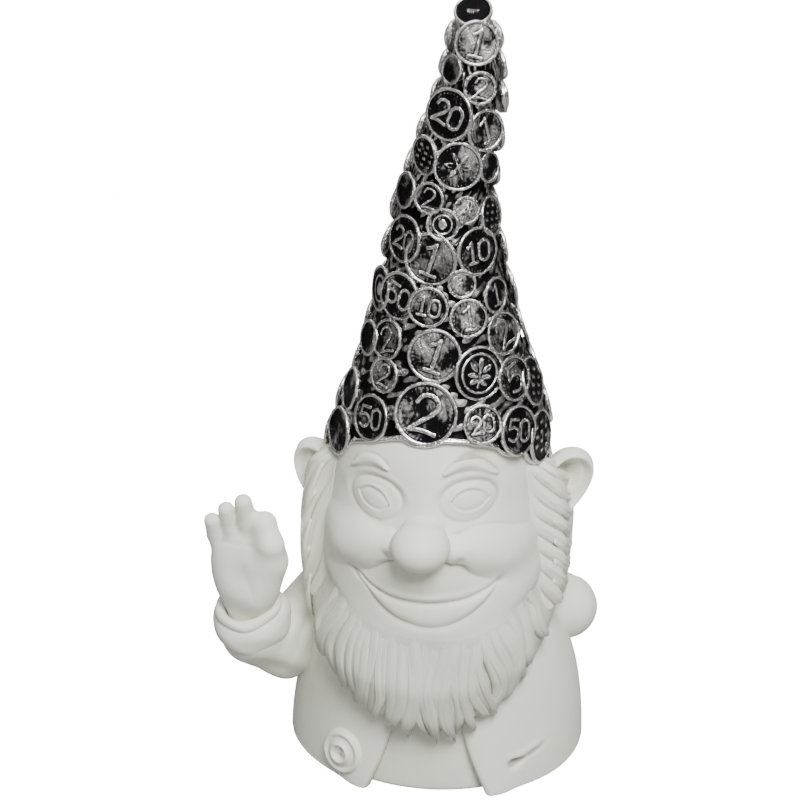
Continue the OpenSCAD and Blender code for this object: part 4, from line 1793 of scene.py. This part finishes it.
        def flesh(x: Array, y: Array, z: Array) -> Array:
            """Distance to the hand, in places given from the cuff.

            Args:
                x: place across.
                y: place in depth.
                z: height.

            Returns:
                Signed distance in mm.
            """
            p = (x - x0, y - y0, z - z0)
            palm = egg(p, (-19, 1.5, 0), (12, 6.2, 10.5))
            total = soft_join(palm, limb(p, (4, 0, 0), 6.8, (-12, 1.5, 0), 7.0), 5)
            for k in range(4):
                tip = (-41.5 - 2.2 * (k % 2) + 1.6 * (k == 3), 0.5, 8 - 5.7 * k)
                total = soft_join(total, limb(p, (-26, 1.5, 7.8 - 5.3 * k), 3.9, tip, 3.1), 1.0)
            return soft_join(total, limb(p, (-18, 2.0, 8), 4.4, (-28, 2.5, 15.5), 3.5), 2.0)

        low = np.array([x0 - 50.0, y0 - 12, z0 - 16])
        skin = carved(flesh, low, np.array([x0 + 12.0, y0 + 12, z0 + 22]), 0.7)
        make_piece("left_hand", skin, self.finishes.figure, 6)

    def build(self) -> None:
        """Makes both arms."""
        self.right_sleeve()
        self.cuff("right_cuff", (-80.8, -22.5, 65.5), (-0.1, -0.3, 0.95), 17.6, 18.0, 9.6)
        self.right_hand()
        self.left_sleeve()
        self.cuff("left_cuff", (23, 60, 50), (-0.99, -0.14, 0.0), 14.8, 16.0, 7.2)
        self.left_hand()


# ---- hat ----


class Motif(Enum):
    """What stands on a coin's face. All of it is generic."""

    PLAIN = "plain"
    NUMERAL = "numeral"
    BARS = "bars"
    STAR = "star"
    RING = "ring"
    SPRIG = "sprig"


# The lines of each digit, in a box from -0.5 to 0.5.
STROKES: dict[str, tuple] = {
    "0": (
        ((0.0, 0.5), (0.26, 0.36), (0.3, 0.0), (0.26, -0.36), (0.0, -0.5),
         (-0.26, -0.36), (-0.3, 0.0), (-0.26, 0.36), (0.0, 0.5)),
    ),
    "1": (
        ((-0.2, 0.3), (-0.06, 0.38), (0.06, 0.5)),
        ((0.06, 0.5), (0.06, 0.0), (0.06, -0.5)),
        ((-0.18, -0.5), (0.06, -0.5), (0.3, -0.5)),
    ),
    "2": (
        ((-0.3, 0.26), (-0.18, 0.46), (0.08, 0.5), (0.3, 0.3), (0.18, 0.02), (-0.1, -0.24), (-0.34, -0.5)),
        ((-0.34, -0.5), (0.0, -0.46), (0.36, -0.5)),
    ),
    "5": (
        ((0.3, 0.5), (0.0, 0.5), (-0.24, 0.5)),
        ((-0.24, 0.5), (-0.27, 0.28), (-0.3, 0.06)),
        ((-0.3, 0.06), (0.0, 0.14), (0.28, 0.0), (0.28, -0.3), (0.02, -0.5), (-0.3, -0.4)),
    ),
}

# The middle of each leaf of a sprig, in shares of the coin's radius, and its direction in radians.
LEAVES = (
    (0, 0.36, 1.57), (0.27, 0.2, 0.8), (-0.27, 0.2, 2.35), (0.26, -0.1, 0.1), (-0.26, -0.1, 3.04),
    (0.16, -0.3, -0.5), (-0.16, -0.3, 3.6),
)


@dataclass(frozen=True)
class Coin:
    """One coin of the hat: height of its middle, angle from the front, diameter, what it shows, and how far
    its field is rubbed bright."""

    z: float
    angle: float
    width: float
    motif: Motif = Motif.PLAIN
    text: str = ""
    tone: float = 0.2


def coins_from(rows: Sequence[tuple]) -> list[Coin]:
    """Coins from short rows: z, angle, width, a numeral's digits or a motif, and tone.

    Args:
        rows: the rows.

    Returns:
        The coins.
    """
    coins = []
    for z, angle, width, shows, tone in rows:
        motif, text = (shows, "") if isinstance(shows, Motif) else (Motif.NUMERAL, shows)
        coins.append(Coin(z, angle, width, motif, text, tone))
    return coins


FRONT_GRID = 66
BACK_GRID = 44

# Piece, widths from and up to, lift over the cone, and share of the full width that is drawn.
COIN_SIZES = (
    ("coins_broad", 22.8, 30.0, 0.2, 0.98),
    ("coins_large", 20.2, 22.8, 0.6, 0.98),
    ("coins_medium", 18.2, 20.2, 1.0, 0.98),
    ("coins_small", 15.4, 18.2, 1.4, 0.96),
    ("coins_tiny", 10.0, 15.4, 1.8, 0.94),
)

FRONT_COINS = coins_from((
    (322, 15, 18.5, "1", 0.62), (311, -39, 13, Motif.PLAIN, 0.35), (305, 21, 14.5, "2", 0.5),
    (299, 93, 15, Motif.PLAIN, 0.3), (294, -26, 22, "20", 0.1), (288, 43, 18, "1", 0.5),
    (277, -44, 17.5, Motif.BARS, 0.2), (274, 11, 20.5, Motif.STAR, 0.4), (272, 62, 14, Motif.PLAIN, 0.3),
    (261, -16, 14.5, "2", 0.3), (256, 31, 12.5, Motif.PLAIN, 0.75), (251, 70, 18, Motif.BARS, 0.25),
    (261, -61, 16, Motif.PLAIN, 0.2), (251, 5, 14.5, Motif.RING, 0.3), (243, -40, 20.5, "20", 0.15),
    (237, -7, 23, "1", 0.5), (239, 43, 21, "10", 0.1), (227, 23, 13, Motif.PLAIN, 0.5),
    (220, -37, 21, "50", 0.1), (219, -67, 20, Motif.RING, 0.2), (218, -7, 18, "10", 0.35),
    (213, 27, 17, "1", 0.45), (220, 56, 16, "1", 0.15), (204, 57, 19, "2", 0.45), (202, -38, 18, "2", 0.3),
    (199, -60, 16, Motif.PLAIN, 0.2), (199, 0, 23, "1", 0.55), (191, 31, 23.5, Motif.SPRIG, 0),
    (188, -35, 16, "2", 0.5), (185, 58, 20, "5", 0.35), (179, 79, 22, Motif.BARS, 0.2),
    (175, -67, 19.5, Motif.PLAIN, 0.25), (176, -4, 27, "2", 0.4), (170, -38, 20.5, "50", 0.1),
    (158, -63, 21, Motif.PLAIN, 0.3), (171, 29, 17.5, "20", 0.45), (165, 52, 22, "50", 0.15),
    (156, 75, 24, Motif.BARS, 0.2),
))


def disc_grid(count: int) -> tuple[Array, Array]:
    """x and y of a square grid drawn into the unit disc, with count points along each side.

    Args:
        count: points along each side of the grid.

    Returns:
        x and y, each (count, count).
    """
    g = lean(np.linspace(-1, 1, count), 0.86)
    a, b = np.meshgrid(g, g, indexing="ij")
    wide = np.abs(a) > np.abs(b)
    safe = np.where(wide, a, np.where(b == 0, 1.0, b))
    phi = np.where(wide, np.pi / 4 * b / safe, np.pi / 2 - np.pi / 4 * a / safe)
    rho = np.where(wide, a, b)
    return rho * np.cos(phi), rho * np.sin(phi)


def closed_disc(top: Array, count: int) -> Skin:
    """Closes a disc whose face is a square grid of points.

    Args:
        top: (count * count, 3) points of the face.
        count: points along a side of the grid.

    Returns:
        The face with an upright edge down to z = 0 and a flat back.
    """
    n = count * count
    k = np.arange(count)
    loop = np.concatenate([k, k[1:] * count + count - 1, n - 2 - k[:-1], k[-2:0:-1] * count])
    points = np.concatenate([top, top[loop] * (1, 1, 0), [(0.0, 0.0, 0.0)]])
    m = len(loop)
    i = np.arange(m)
    j = (i + 1) % m
    side = np.stack([loop[j], loop[i], n + i, n + j], -1)
    under = np.stack([n + i, np.full(m, n + m), n + j], -1)
    return Skin(points, [quads(count, count, False), side, under])


@dataclass
class Hat:
    """The tall hat, its rolled rim and the coins on it."""

    finishes: Finishes
    seed: int = 11
    profile: tuple = (
        (100, 60), (140, 51), (165, 46), (185, 38.5), (200, 34.5), (215, 29.5), (232, 25.5), (248, 22.5),
        (265, 18.5), (288, 15.8), (304, 13.5), (316, 11), (326, 9.5), (334, 5.5),
    )
    coin_depth: float = 3.2
    wall: float = 2.0
    top: float = 334.0
    coin_thick: float = 1.8
    cap_tilt: float = 35.0
    back_rows: tuple = (
        (11, 7, 24), (31, 7, 22), (50, 6, 22.5), (69, 6, 20), (86, 5, 20.5), (104, 5, 19), (121, 4, 18.5),
        (137, 4, 17), (152, 3, 18), (167, 3, 16), (180, 3, 15), (191, 2, 15),
    )

    def __post_init__(self) -> None:
        """Sets up the seeded random numbers."""
        self.random = np.random.default_rng(self.seed)

    def radius(self, z: Array) -> Array:
        """Radius of the cone under the coins."""
        table = np.array(self.profile, float)
        return np.interp(z, table[:, 0], table[:, 1]) - self.coin_depth

    def slope(self, z: float) -> float:
        """Angle in radians between the cone's side and upright at height z."""
        return math.atan((self.radius(z - 5) - self.radius(z + 5)) / 10)

    def axis_x(self, z: Array) -> Array:
        """x of the hat's axis: upright at first, then leaning to +X towards the tip."""
        return 3 * smooth(140, 175, z) + 11.5 * smooth(245, 315, z)

    def round_axis(self, z: Array, radius: Array, turn: Array) -> Array:
        """Point at height z and a radius round the leaning axis; turn is in radians from the front."""
        return np.stack([self.axis_x(z) + radius * np.sin(turn), -radius * np.cos(turn), z], -1)

    def rim_with_coins(self, angle: Array) -> Array:
        """Height of the rim, drawn down round the lower edge of each coin that hangs over it.

        Args:
            angle: degrees from the front.

        Returns:
            Height.
        """
        low = rim_height(angle) - 0.3 * np.sin(np.radians(angle) * 9 + 0.6)
        for coin in [*FRONT_COINS, *self.back_coins()]:
            if coin.z - coin.width / 2 < float(rim_height(coin.angle)) + 2.5:
                reach = coin.width / 2 + 0.6
                away = np.radians((angle - coin.angle + 180) % 360 - 180) * float(self.radius(coin.z))
                edge = coin.z - np.sqrt(np.clip(reach ** 2 - away ** 2, 0, None)) * 0.97
                low = np.where(np.abs(away) < reach * 0.93, np.minimum(low, edge), low)
        return low

    def shell(self) -> None:
        """The cone: a thin wall with lumps and runs of metal on its face and a rolled, scalloped rim."""
        angle = np.linspace(-180, 180, 360, endpoint=False)
        t = np.concatenate([np.linspace(0, 0.03, 9)[:-1], np.linspace(0.03, 1, 165)])
        a, share = np.meshgrid(angle, t)
        turn = np.radians(a)
        low = self.rim_with_coins(a)
        z = low + (self.top - low) * share
        over = z - low
        lumps = np.sin(11 * turn + 0.21 * z) * np.sin(0.47 * z + 3 * np.sin(4 * turn))
        lumps = lumps + 0.6 * np.sin(23 * turn - 0.5 * z) * np.sin(0.9 * z)
        lip = 1.5 * bell(over - 1.2, 1.3)
        r = self.radius(z) + 0.45 * lumps * smooth(2, 6, over) + lip - 1.1 * smooth(0.8, 0, over)
        outer = self.round_axis(z, r, turn)
        ri = np.maximum(self.radius(z) - self.wall, 0.6)
        inner = self.round_axis(z, ri, turn)[t < 0.94][::6]
        rings = np.concatenate([inner[::-1], outer])
        skin = tube(rings)
        glint = np.clip(0.9 * smooth(3.0, 1.4, over) + 0.55 * smooth(0.75, 1.3, lumps), 0, 1)
        flat = np.zeros(inner.shape[:2])
        skin.marks["relief"] = np.append(np.concatenate([flat[::-1].ravel(), glint.ravel()]), [0.0, 0.0])
        make_piece("hat_shell", skin, self.finishes.hat, 5)

    def back_coins(self) -> list[Coin]:
        """Coins at the sides and back, in rows that follow the rim below and become level higher up.

        Returns:
            The coins.
        """
        kinds = (Motif.PLAIN, "1", Motif.BARS, "20", Motif.RING, "5", Motif.STAR, "10", Motif.PLAIN, "2")
        rows = []
        for over, count, width in self.back_rows:
            level = float(smooth(0, 120, over))
            for k in range(count):
                angle = 92 + 176 * (k + 0.5) / count
                z = over + (1 - level) * float(rim_height(angle)) + level * (RIM_MIDDLE_Z - 8)
                shows = kinds[(3 * len(rows) + k) % len(kinds)]
                tone = 0.1 + 0.1 * ((7 * len(rows)) % 5)
                rows.append((z, angle, width + (k % 2) * 1.2 - 0.6, shows, tone))
        return coins_from(rows)

    def mark_height(self, coin: Coin, x: Array, y: Array) -> Array:
        """Height share, 0 to 1, of what stands on a coin; x and y are in shares of its radius.

        Args:
            coin: the coin.
            x: place across.
            y: place up.

        Returns:
            The share.
        """
        if coin.motif is Motif.NUMERAL:
            return self.numeral(coin.text, x, y)
        r, turn = np.hypot(x, y), np.arctan2(y, x)
        if coin.motif is Motif.BARS:
            rows = np.abs(np.sin(9.5 * (y + 0.22 * x))) ** 2
            broken = smooth(-0.2, 0.4, np.sin(13 * x + 4 * np.floor(3.03 * (y + 0.22 * x))))
            return rows * broken * smooth(0.72, 0.62, r)
        if coin.motif is Motif.STAR:
            reach = 0.52 * (0.72 + 0.28 * np.cos(6 * turn))
            spokes = smooth(0.12, 0.03, np.abs(np.sin(3 * turn)) * r) * smooth(0.6, 0.5, r)
            return np.maximum(smooth(0.06, -0.04, r - reach) * 0.7, spokes)
        if coin.motif is Motif.RING:
            return np.maximum(smooth(0.09, 0.03, np.abs(r - 0.55)), smooth(0.32, 0.2, np.hypot(x, 0.8 * y)))
        if coin.motif is Motif.SPRIG:
            return self.sprig(x, y)
        return np.zeros_like(x)

    @staticmethod
    def sprig(x: Array, y: Array) -> Array:
        """Height share of a stem with leaves, in a fine ring.

        Args:
            x: place across.
            y: place up.

        Returns:
            The share.
        """
        stem, _ = near_line(x, y, np.array([[0.0, 0.3], [0.0, -0.5]]))
        ring = smooth(0.07, 0.02, np.abs(np.hypot(x, y) - 0.7))
        best = np.maximum(smooth(0.06, 0.02, stem), ring)
        for cx, cy, turn in LEAVES:
            along, across = swung(x - cx, y - cy, turn)
            best = np.maximum(best, smooth(1.15, 0.7, np.hypot(along, 2.4 * across) / 0.24))
        return best

    def numeral(self, text: str, x: Array, y: Array) -> Array:
        """Height share of a numeral of one or two digits in the middle of a coin.

        Args:
            text: its digits.
            x: place across.
            y: place up.

        Returns:
            The share.
        """
        size = 1.16 if len(text) == 1 else 0.84
        best = np.full(x.shape, 9.0)
        for k, digit in enumerate(text):
            at = (k - (len(text) - 1) / 2) * 0.64
            for stroke in STROKES[digit]:
                line = drawn(np.array(stroke) * size + (at, 0.0), 14)
                best = np.minimum(best, near_line(x, y, line)[0])
        return smooth(0.10, 0.04, best)

    def coin_skin(self, coin: Coin, lift: float, fill: float, count: int) -> Skin:
        """One coin where it lies on the cone.

        The height of its face is that of the rim, a beaded ring inside it, what stands on the coin and some
        slow dents.

        Args:
            coin: the coin.
            lift: how far its back lies over the cone.
            fill: its width as a share of the full width.
            count: points along a side of the grid.

        Returns:
            The coin's skin, with its relief marked.
        """
        x, y = disc_grid(count)
        turn = np.arctan2(y, x)
        r = np.hypot(x, y)
        rnd = self.random
        radius = coin.width * fill / 2
        rim_at = 1 - 1.15 / radius
        rim = smooth(rim_at - 0.05, rim_at + 0.02, r)
        spin, dent = rnd.uniform(-22, 22), rnd.uniform(0, 6.28, 4)
        mark = self.mark_height(coin, x, y) * smooth(rim_at + 0.01, rim_at - 0.05, r)
        beads = 0.55 * smooth(0.0, 0.8, np.cos(turn * round(radius * 3.2))) * bell(r - rim_at + 0.1, 0.035)
        dents = np.sin(2.6 * x + dent[0]) * np.sin(2.3 * y + dent[1])
        dents = dents + 0.6 * np.sin(6.1 * x + 3 * y + dent[2]) * np.sin(5.3 * y + dent[3])
        worn = 1 - 0.35 * smooth(0.2, 1.2, dents)
        height = self.coin_thick - 0.55 + 0.55 * rim + 0.5 * mark * worn + 0.16 * beads + 0.2 * dents
        height = height - 0.5 * smooth(0.965, 1.0, r) ** 2
        top = np.stack([radius * x, radius * y, height], -1).reshape(-1, 3)
        crest = bell((r - rim_at - 0.5 / radius) * radius, 0.6) * (0.75 + 0.25 * np.sin(3 * turn + dent[0]))
        outline = 4 * mark * (1 - mark)
        field_tone = 0.95 * coin.tone - 0.1 + 0.3 * dents
        relief = np.maximum(1.05 * crest, 0.9 * mark * worn) + 0.35 * beads + field_tone - 0.8 * outline
        skin = closed_disc(top, count)
        edge = np.full(len(skin.points) - relief.size, 0.5)
        skin.marks["relief"] = np.concatenate([np.clip(relief, 0, 1).ravel(), edge])
        self.set_down(skin, coin, lift, spin)
        return skin.outward()

    def set_down(self, skin: Skin, coin: Coin, lift: float, spin: float) -> None:
        """Moves a coin to its place, nearly flat on the cone but tipped a little, as if pressed in by hand.

        Args:
            skin: the coin's skin, lying at the origin with its face up.
            coin: the coin.
            lift: how far its back lies over the cone.
            spin: degrees by which it is turned in its plane.
        """
        rnd = self.random
        turn = math.radians(coin.angle)
        tilt = self.slope(coin.z) - math.radians(rnd.uniform(-0.5, 6.0))
        out = np.array([math.sin(turn) * math.cos(tilt), -math.cos(turn) * math.cos(tilt), math.sin(tilt)])
        sideways = math.radians(rnd.uniform(-5.5, 5.5))
        flat = np.array([math.cos(turn), math.sin(turn), 0.0])
        out = out * math.cos(sideways) + flat * math.sin(sideways)
        place = self.round_axis(coin.z, self.radius(coin.z), turn)
        skin.points = placed(skin.points, place + out * lift, out, spin)

    def coins(self) -> None:
        """All coins, in five pieces by size: the smaller they are, the higher they lie."""
        every = [(c, FRONT_GRID) for c in FRONT_COINS] + [(c, BACK_GRID) for c in self.back_coins()]
        for name, low, high, lift, fill in COIN_SIZES:
            skins = [self.coin_skin(c, lift, fill, n) for c, n in every if low < c.width <= high]
            if name == "coins_broad":
                skins.append(self.cap_coin())
            make_piece(name, Skin.joined(skins), self.finishes.coin, 3)

    def cap_coin(self) -> Skin:
        """The coin that caps the tip, facing up and forwards.

        Returns:
            The coin's skin.
        """
        own = Coin(self.top - 12, 0, 17, tone=-0.5)
        skin = self.coin_skin(own, 0.0, 0.92, BACK_GRID)
        centre = self.round_axis(own.z, self.radius(own.z), 0.0)
        local = skin.points - centre
        lean_back = math.radians(90 - self.cap_tilt) - self.slope(own.z)
        y, z = swung(local[:, 1], local[:, 2], lean_back)
        place = np.array([float(self.axis_x(self.top)), -1.0, self.top - 1.5])
        skin.points = np.stack([local[:, 0], y, z], -1) + place
        return skin.outward()

    def build(self) -> None:
        """Makes the hat and its coins."""
        self.shell()
        self.coins()


# ---- studio ----


@dataclass(frozen=True)
class Studio:
    """The camera, the lights and the pale floor."""

    distance: float = 0.8
    azimuth: float = 7.0
    elevation: float = 24.0
    aim_z: float = 0.165
    lens: float = 83.7
    shift_x: float = -0.04625
    world_strength: float = 1.0
    floor_glow: float = 16.0
    floor_half: float = 9.0
    floor_gap: float = 0.0004
    lamps: tuple = (
        ("key", (0.4, -0.92, 1.32), (0, 0, 0.15), 0.6, 42.0),
        ("front", (0.3, -1.5, 0.5), (0, 0, 0.14), 0.8, 2.6),
        ("top", (-0.1, 0.1, 1.5), (0, 0, 0.2), 0.9, 4.0),
        ("back", (-0.4, 1.4, 1.0), (0, 0, 0.15), 0.8, 7.0),
        ("left_fill", (-1.2, -0.7, 0.6), (0, 0, 0.15), 0.8, 0.8),
    )

    def camera(self) -> None:
        """Puts up the camera, a little above the figure and to its left, and makes it the scene's."""
        a, e = math.radians(self.azimuth), math.radians(self.elevation)
        data = bpy.data.cameras.new("camera")
        data.lens = self.lens
        data.sensor_width = 36.0
        data.shift_x = self.shift_x
        data.clip_start = 0.01
        camera = bpy.data.objects.new("camera", data)
        level = self.distance * math.cos(e)
        rise = self.distance * math.sin(e)
        camera.location = (level * math.sin(a), -level * math.cos(a), self.aim_z + rise)
        aim = Vector((0.0, 0.0, self.aim_z)) - camera.location
        camera.rotation_euler = aim.to_track_quat("-Z", "Y").to_euler()
        bpy.context.scene.collection.objects.link(camera)
        bpy.context.scene.camera = camera

    def lamp(self, name: str, place: Point, aim: Point, size: float, watts: float) -> None:
        """Puts up one square soft light that points at a place.

        Args:
            name: its name.
            place: where it stands.
            aim: what it points at.
            size: its width in metres.
            watts: its power.
        """
        data = bpy.data.lights.new(name, "AREA")
        data.energy = watts
        data.size = size
        light = bpy.data.objects.new(name, data)
        light.location = place
        light.rotation_euler = (Vector(aim) - light.location).to_track_quat("-Z", "Y").to_euler()
        bpy.context.scene.collection.objects.link(light)

    def floor(self) -> None:
        """Lays a broad pale floor just under the figure."""
        mesh = bpy.data.meshes.new("floor")
        s, z = self.floor_half, -self.floor_gap
        mesh.from_pydata([(-s, -s, z), (s, -s, z), (s, s, z), (-s, s, z)], [], [(0, 1, 2, 3)])
        material, w, shader = new_material("floor_white")
        shader.inputs["Roughness"].default_value = 0.9
        shader.inputs["Specular IOR Level"].default_value = 0.1
        w.feed(shader.inputs["Base Color"], w.mix(w.noise(3.0, 2.0), grey(0.24), grey(0.26)))
        shader.inputs["Emission Color"].default_value = grey(1.0)
        seen = w.add("ShaderNodeLightPath").outputs["Is Camera Ray"]
        w.feed(shader.inputs["Emission Strength"], w.ramp(seen, 0.0, 1.0, 0.0, self.floor_glow))
        mesh.materials.append(material)
        floor = bpy.data.objects.new("floor", mesh)
        bpy.context.scene.collection.objects.link(floor)
        floor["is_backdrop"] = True

    def build(self) -> None:
        """Lays the floor and sets the lights: a broad key high at the front, and a little fill all round."""
        self.floor()
        world = bpy.data.worlds.new("studio")
        world.use_nodes = True
        bpy.context.scene.world = world
        sky = world.node_tree.nodes["Background"]
        w = Wiring(world.node_tree)
        seen = w.add("ShaderNodeLightPath").outputs["Is Camera Ray"]
        w.feed(sky.inputs["Strength"], w.ramp(seen, 0.0, 1.0, self.world_strength, self.floor_glow))
        split = w.add("ShaderNodeSeparateXYZ")
        w.feed(split.inputs[0], w.add("ShaderNodeTexCoord").outputs["Generated"])
        grade = w.mix(w.ramp(split.outputs["Z"], 0.0, 0.8), grey(0.03), grey(0.42))
        w.feed(sky.inputs["Color"], w.mix(seen, grade, grey(1.0)))
        for lamp in self.lamps:
            self.lamp(*lamp)


def note_box(boxes: dict[str, list]) -> Callable[[str], None]:
    """Gives a function that notes the shown object's box under a name.

    Args:
        boxes: where the boxes are kept, by name.

    Returns:
        The function.
    """

    def note(name: str) -> None:
        """Notes the box as plain lists."""
        low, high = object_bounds()
        boxes[name] = [list(map(float, low)), list(map(float, high))]

    return note


def main() -> None:
    """Builds the camera, the finishes, each sub-assembly and the studio, and notes both boxes."""
    logging.basicConfig(level=logging.INFO, format="%(name)s: %(message)s")
    boxes: dict[str, list] = {}
    note = note_box(boxes)
    note("cad")
    studio = Studio()
    studio.camera()
    finishes = Finishes.make()
    Body(finishes).build(frame)
    Head(finishes).build()
    Hair(finishes).build()
    Arms(finishes).build()
    Hat(finishes).build()
    studio.build()
    note("visual")


if __name__ == "__main__":
    main()
